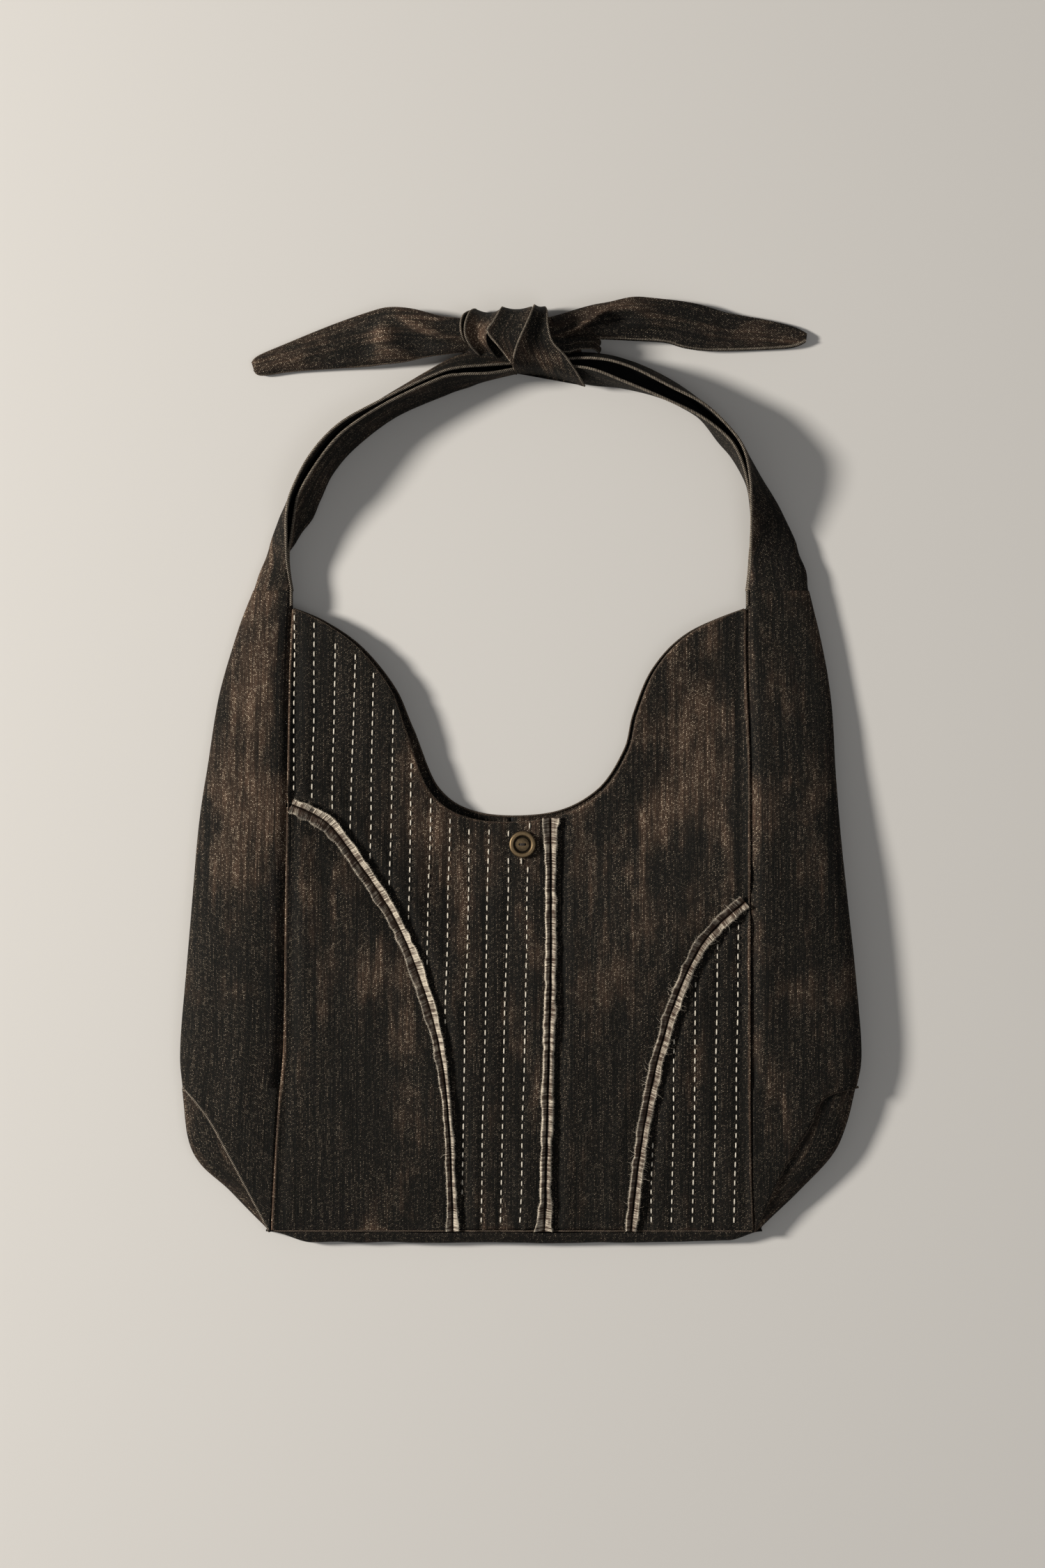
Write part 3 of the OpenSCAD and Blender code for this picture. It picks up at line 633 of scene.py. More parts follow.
def front_grid(left, right):
    """Points, places, and the wear and painted light and shade, of a front panel between two lines given row
    by row.
    """
    x0, y0, x1, y1 = (column[:, None] for column in (*left.T, *right.T))
    x = across_columns(x0, x1)
    share = (x - x0) / np.maximum(x1 - x0, 1e-6)
    y = y0 + share * (y1 - y0)
    rim = np.minimum(np.minimum(x - x0, x1 - x), y - y[0])
    outer = xyz(x, y, front_surface(x, y) - edge_drop(np.abs(rim)))
    side = np.minimum(x - x_on(SEAM_LEFT, y), x_on(SEAM_RIGHT, y) - x)
    # The rolled edges of the panel are lighter: rubbed wear, and a painted highlight where they catch the
    # lamp.
    worn = 0.5 * bump(rim, 1.8) + 0.25 * noise(x, y, (9, 30), 31)
    # A painted highlight on the rolled edge at each side seam, a painted shadow in the band under the
    # gusset's bulge inside the side seams, and a painted shadow in the valley to the right of each raw seam.
    worn = worn + 0.7 * bump(side - 1, 1.8) - 0.8 * bump(side - 5.5, 4) - 0.8 * beside_seams(x, y)
    for more, at_x, at_y, wide, high in RUBBED:
        worn = worn + more * bump(np.hypot((x - at_x) / wide, (y - at_y) / high), 1)
    # The panel also darkens towards the bottom.
    return outer, xyz(x, y), worn - 0.25 * smooth((-110 - y) / 130)


def line_at(line, ys, shift):
    """Points up a line at given heights, shifted sideways."""
    return xyz(x_on(line, ys) + shift, ys)


def build_front():
    """The four panels of the front, each between a left and a right line."""
    foot = BOTTOM + 0.6
    low, high = levels(foot, -22.0), levels(foot, -83.0)
    panels = {"front_left_lower": (line_at(SEAM_LEFT, low, GAP), line_at(CURVE_LEFT, low, -0.1)),
              "front_right_lower": (line_at(CURVE_RIGHT, high, 0.1), line_at(SEAM_RIGHT, high, -GAP))}
    centre = line_at(CENTRE, np.linspace(foot, -31, 120), -0.1)
    ys = np.linspace(foot, 105, 230)
    level = ys[:, None]
    outside = np.where(level > -20, line_at(SEAM_LEFT, ys, GAP), line_at(CURVE_LEFT, ys, 0.1))
    mouth = on_curve(MOUTH_POINTS, np.linspace(MOUTH_SEAM - 0.02, 0.12, 110))
    panels["front_left_centre"] = (outside, np.concatenate([centre, mouth]))
    outside = np.where(level > -81, line_at(SEAM_RIGHT, ys, -GAP), line_at(CURVE_RIGHT, ys, -0.1))
    mouth = on_curve(MOUTH_POINTS, np.linspace(MOUTH_SEAM + 0.02, MOUTH_END - 0.12, 110))
    panels["front_right_centre"] = (np.concatenate([centre + (0.2, 0), mouth]), outside)
    for name, (left, right) in panels.items():
        outer, uv, worn = front_grid(left, right)
        finish_piece(shell(name + "_cloth", outer, DENIM, uv, worn), denim, name, "front")


build_front()


# ---- Running stitches ----
STITCH_LENGTH = 3.3
STITCH_WIDTH = 0.95
STITCH_HEIGHT = 0.45
CLEAR_OF_RAW = 6.5
CLEAR_OF_BUTTON = 9.6


def stitch_form():
    """Points of one stitch: a short thread that rises out of the cloth and dives back."""
    t = np.linspace(-1, 1, 9)
    path = xyz(0, t * STITCH_LENGTH / 2, STITCH_HEIGHT * (1 - t**2) - 0.35 * t**6)
    radius = STITCH_WIDTH / 2 * np.sqrt(np.maximum(1 - 0.55 * t**4, 0))
    return tube_parts(path, radius, 7, squash_up=0.8)


def stitches_along(path, seed):
    """Stitches at every period of a path in plan."""
    points, quads, tris, uv, wear_and_light = stitch_form()
    along = lengths(path)
    parts = []
    rng = np.random.default_rng(seed)
    for at in np.arange(STITCH_PERIOD * 0.6, along[-1] - STITCH_PERIOD * 0.3, STITCH_PERIOD):
        at = at + rng.normal(0, 0.18)
        x, y = (np.interp([at - 1.4, at + 1.4], along, path[:, i]) for i in (0, 1))
        low, high = xyz(x, y, front_surface(x, y))
        y_axis = (high - low) / np.linalg.norm(high - low)
        x_axis = np.cross(y_axis, (0, 0, 1))
        x_axis = x_axis / np.linalg.norm(x_axis) + y_axis * rng.normal(0, 0.05)
        basis = np.stack([x_axis, y_axis, np.cross(x_axis, y_axis)])
        placed = points * (1 + rng.normal(0, 0.06)) @ basis + (low + high) / 2 + (0, 0, 0.12)
        parts.append((placed, quads, tris, uv + (0, at), wear_and_light))
    return parts


def build_quilting():
    parts = []
    probe = np.linspace(BOTTOM, 110, 400)
    lip_left = MOUTH[: 12 * MOUTH_SEAM + 1]
    for k in LEFT_ROWS:
        x = left_row_x(k, probe)
        keep = quilted_left(x, probe) & (probe > BOTTOM + 4)
        keep = keep & (probe < np.interp(x, lip_left[:, 0], lip_left[:, 1]))
        keep = keep & (distance_to(MOUTH, x, probe)[0] > 1.6)
        keep = keep & (distance_to(CURVE_LEFT, x, probe)[0] > CLEAR_OF_RAW)
        keep = keep & (np.hypot(x - BUTTON[0], probe - BUTTON[1]) > CLEAR_OF_BUTTON)
        edges = np.flatnonzero(np.diff(np.concatenate([[0], keep.astype(int), [0]])))
        for low, high in zip(edges[::2], edges[1::2]):
            if high - low > 4:
                parts += stitches_along(xyz(x, probe)[low:high], k)
    # One more stitch, just below the button
    parts += stitches_along(np.array([[1.3, -60.8], [1.3, -54.0]]), 13)
    finish_piece(joined("quilting_left_stitches", parts), white_thread, "quilting_left", "front")
    parts = []
    probe = np.linspace(BOTTOM + 4, -80, 300)
    for k in RIGHT_ROWS:
        x = right_row_x(k, probe)
        keep = ~side_of(CURVE_RIGHT, x, probe) & (probe < -84)
        keep = keep & (distance_to(CURVE_RIGHT, x, probe)[0] > CLEAR_OF_RAW)
        parts += stitches_along(xyz(x, probe)[keep], 50 + k)
    stitches = joined("quilting_right_stitches", parts)
    finish_piece(stitches, white_thread, "quilting_right", "front")


build_quilting()


# ---- Raw seams ----
# Section of an allowance from its seam outwards, distance and height: lying flat, and curled up
FLAT = np.array([(0.12, 0.1), (0.8, 0.9), (1.7, 1.35), (2.6, 1.6), (3.5, 1.8), (4.3, 2.05), (4.9, 2.3),
                 (5.3, 2.4)])
CURLED = np.array([(0.12, 0.1), (0.7, 1.2), (1.2, 2.1), (1.7, 2.7), (2.2, 3.0), (2.7, 3.0), (3.2, 2.7),
                   (3.5, 2.3)])
ALLOWANCE = 0.9


def line_noise(along, size, seed):
    """Noise along a line."""
    return noise(along, 0 * along, (size, 1), seed)


def allowance(line, side, curl, tone, wide, seed):
    """One seam allowance, pressed open: its grid of points, places and lightness. curl says how far
    it stands up at each point of the line, from 0 to 1, and wide how wide it is up the line."""
    along = lengths(line)
    run = directions(line)
    curl = (curl + 0.25 * line_noise(along, 14, seed))[:, None, None]
    section = FLAT * (1 - curl) + CURLED * curl
    wide = np.interp(along / along[-1], np.linspace(0, 1, len(wide)), wide) / FLAT[-1, 0]
    wide = wide * (1 + 0.14 * line_noise(along, 5, seed + 1))
    far = section[..., 0] * wide[:, None]
    d = FLAT[:, 0]
    lift = 0.5 * line_noise(along, 11, seed + 2) + 0.25 * line_noise(along, 3.5, seed + 3)
    high = section[..., 1] + lift[:, None] * (d / d[-1]) ** 1.5
    along = along[:, None]
    ribs = np.cos(2 * np.pi * along / RIB_PITCH + 1.3 * far)
    plan = line[:, None] + (xyz(run[:, 1], -run[:, 0]) * side)[:, None] * far[..., None]
    ground = front_surface(plan[..., 0], plan[..., 1])
    centre = front_surface(line[:, 0], line[:, 1])[:, None]
    outer = xyz(plan[..., 0], plan[..., 1], ground * 0.4 + centre * 0.6 + 0.35 + high + 0.1 * ribs)
    # The strip's tone is painted light, lighter on the strip that tilts towards the lamp; the frayed outer
    # edge is a lighter cream, and painted shade darkens the groove at the seam.
    light = tone + 0.6 * smooth(d - 4) - 0.5 * bump(d, 0.8)
    light = light + 0.22 * noise(along + 0 * far, far, (3, 1.5), seed + 4)
    return outer, xyz(far, along), light


def fringe(outer, seed, long_chance):
    """Frayed threads along an allowance's outer edge."""
    edge, before = outer[:, -1], outer[:, -3]
    rng = np.random.default_rng(seed)
    parts = []
    t = np.linspace(0, 1, 5)[:, None]
    step = max(int(RIB_PITCH / np.linalg.norm(edge[1] - edge[0])), 1)
    for i in range(1, len(edge) - 1, step):
        out = edge[i] - before[i]
        out = out / np.linalg.norm(out)
        run = edge[i + 1] - edge[i - 1]
        run = run / np.linalg.norm(run)
        reach = rng.uniform(0.5, 1.3) if rng.random() > long_chance else rng.uniform(2.5, 5)
        bend = run * rng.normal(0, 0.5) + np.array([0, 0, rng.normal(-0.2, 0.3)])
        path = edge[i] - out * 0.25 + out * t * reach + bend * t**2 * reach
        points, quads, tris, uv, _ = tube_parts(path, 0.17 * (1 - 0.6 * t[:, 0]), 5)
        parts.append((points, quads, tris, uv + (0, i), np.ones(len(points))))
    return parts


def raw_seam(name, line, curl_of, tones, widths, long_chance, seed):
    """Both allowances of a seam, the left one first, and their fringe."""
    line = resampled(line, 0.22)
    along = lengths(line)
    pieces, parts = [], []
    for word, side, tone, wide in zip(("left", "right"), (-1, 1), tones, widths):
        outer, uv, light = allowance(line, side, curl_of(along / along[-1]), tone, wide, seed + 10 * side)
        parts += fringe(outer, seed + side, long_chance)
        pieces.append(shell(f"{name}_{word}", outer[:, ::side], ALLOWANCE, uv[:, ::side], light[:, ::side]))
    for obj in [*pieces, joined(name + "_fringe", parts)]:
        finish_piece(obj, frayed, name, "front")


def left_curl(t):
    return 0.1 + 0.7 * smooth(t / 0.08) * (1 - smooth((t - 0.22) / 0.3))


def centre_curl(t):
    return 0.95 - 0.95 * bump(t - 1, 0.07) - 0.8 * bump(t, 0.05)


def right_curl(t):
    return 0.45 + 0 * t


# Each pair of tones is painted light: the right strip tilts towards the lamp and is the lighter.
raw_seam("raw_seam_left", CURVE_LEFT[:-2], left_curl, (0.25, 0.6),
         ((4.6, 4.2, 4.8, 5.4, 5.6), (4.2, 3.8, 4.2, 4.2, 4.2)), 0.01, 101)
raw_seam("raw_seam_centre", CENTRE, centre_curl, (0.4, 0.45), ((5.3, 5.3), (5.3, 5.3)), 0.004, 202)
raw_seam("raw_seam_right", CURVE_RIGHT[:-2], right_curl, (0.2, 0.4), ((4.4, 5), (4.2, 5)), 0.06, 303)


# ---- Facings and linings ----
FACING_W = 28.0


def inward(s):
    """Direction from the mouth's edge into the cloth."""
    ahead, behind = np.minimum(s + 0.1, MOUTH_END), np.maximum(s - 0.1, 0)
    run = on_curve(MOUTH_POINTS, ahead) - on_curve(MOUTH_POINTS, behind)
    run = run / np.linalg.norm(run, axis=-1, keepdims=True)
    return xyz(run[..., 1], -run[..., 0])


def below_mouth(s, d):
    return on_curve(MOUTH_POINTS, s) + d * inward(s)


def facing_foot(t, below=0.0):
    """The facing's lower edge, as t goes from 0 to 1, and lines below it."""
    return below_mouth(0.62 + (MOUTH_END - 1.24) * t, FACING_W + below)


def rows_between(foot, top, shares):
    """A grid of points in plan between two lines."""
    return foot + (top - foot) * shares[:, None, None]


def build_inside():
    t = np.linspace(0, 1, 260)
    lip = below_mouth(0.04 + (MOUTH_END - 0.08) * t, 0.3)
    facing = rows_between(facing_foot(t), lip, np.linspace(0, 1, 15))
    t = np.linspace(0, 1, 130)
    bottom = xyz(-154 + 300 * t, BOTTOM + 3)
    lining = rows_between(bottom, facing_foot(t, 0.3), np.linspace(0, 1, 120))
    for kind, plan in (("facing", facing), ("lining", lining)):
        x, y = plan[..., 0], plan[..., 1]
        front = front_z(x, y) - 2.7 + (0.35 * noise(x, y, (30, 80), 41) - 0.35)
        back = back_z(y) + 1.9 + LINING + 0.2 * noise(x, y, (30, 80), 42) + 0.2
        for side, z, body in (("front", front, "front"), ("back", back, "bag")):
            obj = shell(f"{side}_{kind}_cloth", xyz(x, y, z), LINING, plan)
            finish_piece(obj, cotton, f"{side}_{kind}", body)


build_inside()


# ---- Back panels ----
def back_lip(s):
    """How far the back's mouth stands out past the front's."""
    return 3 * np.sin(np.pi * s / MOUTH_END) ** 0.5 + 3.2 * bump(s - 5, 1.5)


def build_back():
    shares = np.concatenate([np.linspace(0, 0.2, 60, endpoint=False), np.linspace(0.2, 1, 150)])
    for name, s_range, x_range in (("back_left", (0.05, MOUTH_SEAM - 0.52), (-153.0, -2.4)),
                                   ("back_right", (MOUTH_SEAM - 0.5, MOUTH_END - 0.05), (-1.8, 149.0))):
        foot = xyz(np.linspace(*x_range, 76), BOTTOM + 0.3)
        s = np.linspace(*s_range, 76)
        plan = rows_between(foot, below_mouth(s, -back_lip(s)[:, None]), shares)
        x, y = plan[..., 0], plan[..., 1]
        rim = np.minimum(x - x[:, :1], x[:, -1:] - x)
        up = 0.5 * (1 + noise(x, y, (50, 120), 51)) * smooth(rim / 12)
        under = xyz(x, y, back_z(y) + 0.3 * up + 0.6 * bump(rim, 1.2))
        obj = shell(name + "_cloth", under, DENIM, plan, 0.3 * bump(rim, 1.5), flip=True)
        finish_piece(obj, denim, name, "bag")


build_back()


# ---- Gussets and straps: one band of cloth that folds round the bag's side ----
# RING is the folded section, as shares of its width and height. RING_MID is its point on the fold.
TURN = np.radians(np.linspace(0, 90, 22))
BACK_PART = xyz(np.sin(TURN) ** 0.4, -np.cos(TURN) ** 0.5)
FRONT_PART = xyz(np.sin(TURN) ** 0.77, np.cos(TURN))
RING = np.concatenate([BACK_PART, FRONT_PART[-2::-1]])
RING_MID = len(TURN) - 1
HEM_Y = -203.0
ROPE_STEP = 0.27


def gusset_ring(y, seam, edge, shrink=0.0):
    """Section of a gusset at each height, from the back seam round the fold to the front seam."""
    x0, x1 = x_on(seam, y)[:, None], x_on(edge, y)[:, None]
    mid = (front_z(x_on(seam, y), y) - shrink)[:, None] / 2
    return xyz(x0 + (x1 - x0) * RING[:, 0], y[:, None], mid + mid * RING[:, 1])


def round_section(points):
    """Distance along each section of cloth, from its first point."""
    steps = np.linalg.norm(np.diff(points, axis=1), axis=2)
    return np.concatenate([np.zeros((len(points), 1)), np.cumsum(steps, 1)], 1)


def ring_places(points, v):
    """Places on the cloth round a section: u from the fold, v along."""
    u = round_section(points)
    return xyz(u - u[:, RING_MID: RING_MID + 1], v[:, None])


def from_seam(points):
    """Distance of each point of a section from its last, along the cloth."""
    return round_section(points[:, ::-1])[:, ::-1]


def outward(points, right):
    """Outward directions of a section of cloth on the bag's left or right."""
    return grid_normals(points) * (-1 if right else 1)


def gusset_folds(u, v, seed):
    """Long soft folds of a gusset, in millimetres outwards; u is the distance from the front seam."""
    z = 1.3 * noise(u, v, (24, 130), seed) + 0.6 * noise(u + 0.2 * v, v, (12, 45), seed + 1)
    return z * smooth(u / 10) * smooth((ROOT_Y - v) / 25)


def gusset_wear_and_light(u, v, right):
    # Lighter along the rolled edge at the seam, from rubbed wear and a painted highlight; a painted shade in
    # the valley beside the seam.
    worn = 0.35 * bump(u, 1.5) - 0.7 * bump(u - 4, 3) + 0.2 * noise(u, v, (11, 30), 65)
    # The right gusset is a little darker.
    if right:
        return worn - 0.06
    # The left gusset gets a painted highlight where its side faces the lamp, fading out downwards, and it
    # darkens further towards the bottom and its corner.
    lit = smooth((v + 150) / 110)
    return worn + 0.5 * bump(u - 24, 18) * lit - 0.28 * (1 - lit) - 0.3 * smooth((-185 - v) / 40)


def unfolding(obj, material, node):
    """A piece that stretches out between the bag and its front."""
    finish_piece(obj, material, node)
    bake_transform(obj)


def gusset_main(side, seam, edge, seed):
    """The gusset above its hem."""
    right = side == "right"
    ys = np.concatenate([[HEM_Y, HEM_Y + 0.4, HEM_Y + 1.2, HEM_Y + 2.6], np.linspace(HEM_Y + 5, ROOT_Y, 150)])
    ring = gusset_ring(ys, seam, edge)
    u, v = from_seam(ring), np.broadcast_to(ys[:, None], ring.shape[:2])
    under = smooth((ring[..., 2] - 1.5) / 4)
    ring = ring + outward(ring, right) * (gusset_folds(u, v, seed) * under)[..., None]
    ring[..., 2] = np.maximum(ring[..., 2] - edge_drop(u), 0)
    # Lighter part way up the outside of the fold.
    worn = gusset_wear_and_light(u, v, right) + 0.2 * bump(ring[..., 2] - 8, 6)
    return shell(f"gusset_{side}_cloth", ring, DENIM, xyz(u, v), worn, flip=right)


def gusset_corner(side, seam, edge, hem, seed):
    """The gusset's lower corner, folded over to its hem, and the rope of the hem's edge."""
    right = side == "right"
    ys = np.concatenate([np.linspace(-296.4, HEM_Y - 0.8, 62), [HEM_Y + 0.4]])[:, None]
    x0, x1, hem_x = x_on(seam, ys), x_on(edge, ys), x_on(hem, ys)
    x = x0 + (hem_x - x0) * np.linspace(1, 0, 34)
    q = np.clip((x - x0) / (x1 - x0), 0, 0.98)
    top = front_z(x0, ys)
    z = top / 2 + top / 2 * (1 - q**2.6) ** 0.5
    u, v = from_seam(xyz(x, ys, z)), np.broadcast_to(ys, x.shape)
    hemmed = np.abs(hem_x - x)
    z = z + gusset_folds(u, v, seed) * smooth(hemmed / 8 + (v + 215) / 12) - edge_drop(np.minimum(u, hemmed))
    flap = xyz(x, ys, z)
    worn = gusset_wear_and_light(u, v, right) + 0.3 * bump(hemmed, 1.6)
    corner = shell(f"gusset_{side}_corner", flap, DENIM, xyz(u, v), worn, flip=right)
    rope = tube_parts(resampled(flap[:, 0] - (0, 0, 0.5), ROPE_STEP), 0.6 if right else 0.9, ribs=0.14)
    return corner, joined(f"gusset_{side}_hem", [rope])


def base_end(side, seam, edge, seed):
    """The end of the base under the gusset's corner, with its grain turned."""
    right = side == "right"
    ys = np.linspace(-296.5, -204, 62)
    ring = gusset_ring(ys, seam, edge, shrink=1.9)[:, 3:-3]
    uv = ring_places(ring, ys)
    lift = 0.5 * noise(uv[..., 0], uv[..., 1], (16, 18), seed)
    ring = ring + outward(ring, right) * (lift * smooth((ring[..., 2] - 1.5) / 4))[..., None]
    ring[..., 2] = np.maximum(ring[..., 2], 0)
    return shell(f"base_end_{side}_cloth", ring, DENIM, uv, 0.3 * bump(uv[..., 0], 5), flip=right)


for side, seam, edge, hem, seed, hem_denim in (("left", SEAM_LEFT, EDGE_LEFT, HEM_LEFT, 61, rail_denim),
                                               ("right", SEAM_RIGHT, EDGE_RIGHT, HEM_RIGHT, 71, edge_denim)):
    unfolding(gusset_main(side, seam, edge, seed), denim, f"gusset_{side}")
    corner, hem_rope = gusset_corner(side, seam, edge, hem, seed)
    unfolding(corner, denim, f"gusset_{side}")
    unfolding(hem_rope, hem_denim, f"gusset_{side}")
unfolding(base_end("left", SEAM_LEFT, EDGE_LEFT, 81), denim_turned, "base_end_left")
unfolding(base_end("right", SEAM_RIGHT, EDGE_RIGHT, 83), denim_turned, "base_end_right")

BASE_LEFT = -164.0
BASE_RIGHT = 157.0


def build_base():
    profile = whole([(BOTTOM - 0.1, 10.8), (-298, 10.6), (-300.5, 9.4), (-302.6, 7.2), (-303.3, 4.5),
                     (-302.3, 2), (-300, 0.5), (-297, 0), (-280, 0), (-262, 0), (-245, 0), (-239.5, 0.2),
                     (-238, 1.3), (-239.5, 2.5), (-245, 2.7), (-262, 2.7), (-280, 2.7), (-295, 2.7)], 8)
    x, y = np.meshgrid(np.linspace(BASE_LEFT, BASE_RIGHT, 240), profile[:, 0])
    z = np.broadcast_to(profile[:, 1][:, None], x.shape)
    v = np.broadcast_to(lengths(profile)[:, None], x.shape)
    ends = np.minimum(smooth((x - BASE_LEFT) / 30), smooth((BASE_RIGHT - x) / 22))
    above = smooth((z - 1) / 4) * (v < 40)
    bulge = 0.8 * noise(x, v * 0, (70, 1), 92) + 0.4 * noise(x, v * 0, (17, 1), 93) + 0.8 * bump(x + 5, 90)
    y = np.where(v < 24, BOTTOM + (y - BOTTOM) * (0.1 + 0.9 * ends) - above * bulge * ends, y)
    z = z + above * (0.4 * noise(x, v, (26, 9), 91) - 2.2 * (1 - ends))
    outer = xyz(x, y, np.maximum(z, 0.2))
    obj = shell("base_panel_cloth", outer, DENIM, xyz(x, v), 0.2 * bump(v - 8, 5) - 0.35, flip=True)
    unfolding(obj, denim_turned, "base_panel")


build_base()

# Each strap is a channel of cloth that turns from lying on its side to standing on its fold. Its
# stations run from the shoulder to the knot: the front rail, the outer silhouette, the inner
# silhouette and the back rail, each x, y and height.
STRAP_LEFT = [
    [(-147.3, 118, 14), (-172, 118, 7), (-151, 118, 0.8), (-147.3, 118, 0.8)],
    [(-150.3, 137, 17), (-164.5, 137, 8), (-148.5, 140, 1.5), (-149, 138, 5)],
    [(-151, 155, 21), (-158.5, 156, 9), (-142, 154, 3), (-146.5, 156, 13)],
    [(-150.2, 168, 25), (-153.5, 169, 10), (-134, 165, 5), (-144, 170, 21)],
    [(-146.5, 182, 29), (-146.3, 182, 12), (-129, 177, 6), (-140.5, 180.5, 27)],
    [(-135, 203.5, 30), (-134.5, 203, 13), (-121, 194, 6), (-128.5, 199.5, 29)],
    [(-116.5, 224, 30), (-116, 223.5, 13), (-106, 211.5, 6), (-112.5, 218.5, 29)],
    [(-88.5, 240, 29), (-89, 242, 13), (-80, 231, 6), (-85.5, 236.5, 29)],
    [(-54, 256.5, 27), (-57.5, 261, 12), (-47, 245.5, 6), (-52, 252.5, 28)],
    [(-38.5, 261, 25), (-41, 269.5, 11), (-33, 250, 6), (-37, 255.5, 27)],
    [(-19, 263, 22), (-23, 274, 9), (-20, 254, 6), (-18.5, 256.5, 25)],
    [(8, 265, 17), (8, 274, 7), (8, 260.5, 5), (8, 261.5, 18)]]
STRAP_RIGHT = [
    [(147.3, 118, 14), (187, 118, 7), (151, 118, 0.8), (147.3, 118, 0.8)],
    [(149.3, 135, 17), (182.5, 136, 8), (149.5, 135, 1.5), (148.6, 135, 5)],
    [(149.7, 155, 21), (175.2, 155, 9), (150, 155, 3), (149.2, 155, 11)],
    [(149.7, 174, 25), (166.5, 174, 10), (149.5, 173, 4), (148.5, 173.5, 19)],
    [(148.9, 189, 28), (157, 190, 11), (146.5, 187.5, 5), (145.4, 188.5, 25)],
    [(145.5, 206, 30), (147.5, 207, 13), (137.5, 203.5, 6), (140.5, 204, 29)],
    [(137.5, 219.5, 30), (138, 221, 13), (128.5, 214, 6), (132.2, 216, 29)],
    [(118.5, 237.5, 30), (119, 239, 13), (114.5, 230.5, 6), (113.8, 229.5, 29)],
    [(96, 249, 30), (98.5, 253.5, 13), (93, 242, 6), (91.5, 240.2, 29)],
    [(71, 261.5, 28), (73, 265.5, 12), (66, 249, 6), (66.5, 251, 28)],
    [(48, 267, 26), (49.5, 271.5, 11), (42, 252, 6), (43.5, 259.5, 26)],
    [(12, 267, 17), (12, 273, 8), (12, 261, 5), (12, 262.5, 18)]]
TURN_LENGTH = 34.0


def strap_sections(stations, count):
    """Sections of a strap, each from its back rail round the fold to its front rail."""
    s = np.linspace(0, len(stations) - 1, count)
    front, outer, inner, back = (on_curve([p[k] for p in stations], s) for k in range(4))
    low = [outer + (inner - outer) * share for share in (0.8, 0.2)]
    for points in low:
        points[:, 2] = 0.8
    guides = np.stack([back, inner, *low, outer, front], 1)
    along = lengths(outer)
    lying = np.concatenate([np.linspace(0, 4, RING_MID + 1), np.linspace(4, 5, RING_MID + 1)[1:]])
    standing = np.linspace(0, 5, len(RING))
    turn = smooth(along / (1.6 * TURN_LENGTH))
    ring = np.stack([on_curve(guide, lying + (standing - lying) * t) for guide, t in zip(guides, turn)])
    return ring, along


def build_strap(side, stations, seam, edge):
    right = side == "right"
    ring, along = strap_sections(stations, 300)
    last = gusset_ring(np.array([ROOT_Y]), seam, edge)[0]
    turn = smooth(along / TURN_LENGTH)[:, None, None]
    rail, fold = ring[:, -1:], ring[:, RING_MID: RING_MID + 1]
    carried = rail + (fold - rail) * RING[None, :, :1]
    carried[..., 2] = last[:, 2]
    ring = carried * (1 - turn) + ring * turn
    uv = ring_places(ring, ROOT_Y + along)
    u, v = uv[..., 0], uv[..., 1]
    normals = outward(ring, right)
    folds = 0.35 * noise(u, v, (9, 60), 111 + right) + 0.2 * noise(u, v, (6, 18), 113 + right)
    ring = ring + normals * (folds * turn[..., 0])[..., None]
    ring[..., 2] = np.maximum(ring[..., 2], 0.2)
    rim = np.minimum(*(np.linalg.norm(ring - end, axis=2) for end in (ring[:, -1:], ring[:, :1])))
    # Lighter along the edges and the fold; the right strap is darker than the left.
    worn = 0.4 * bump(rim, 2) + 0.3 * bump(u, 4) + 0.2 * noise(u, v, (8, 30), 115) - (0.3 if right else 0.0)
    # The left strap carries on the left gusset's painted highlight where its side faces the lamp.
    if not right:
        worn = worn + 0.5 * bump(from_seam(ring) - 24, 18) * smooth((200 - v) / 80)
    cloth = shell(f"strap_{side}_cloth", ring, 1.4, uv, worn, flip=right)
    finish_piece(cloth, denim, f"strap_{side}")
    inner = ring[:, 3:-3] - normals[:, 3:-3] * 1.7
    lining = shell(f"strap_{side}_inner", inner, LINING, uv[:, 3:-3], flip=right)
    finish_piece(lining, cotton, f"strap_facing_{side}")
    edges = [ring[:, column] - normals[:, column] * 0.7 for column in (0, -1)]
    edges[1] = np.concatenate([edges[1][:1] + [(0, -10, 0), (0, -5, 0)], edges[1]])
    parts = [tube_parts(resampled(path, 0.25), 0.85, ribs=0.14, pitch=1.2) for path in edges]
    rails = joined(f"strap_{side}_rails", parts)
    finish_piece(rails, rail_denim, f"strap_{side}")
    for piece in (cloth, lining, rails):
        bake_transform(piece)


build_strap("left", STRAP_LEFT, SEAM_LEFT, EDGE_LEFT)
build_strap("right", STRAP_RIGHT, SEAM_RIGHT, EDGE_RIGHT)


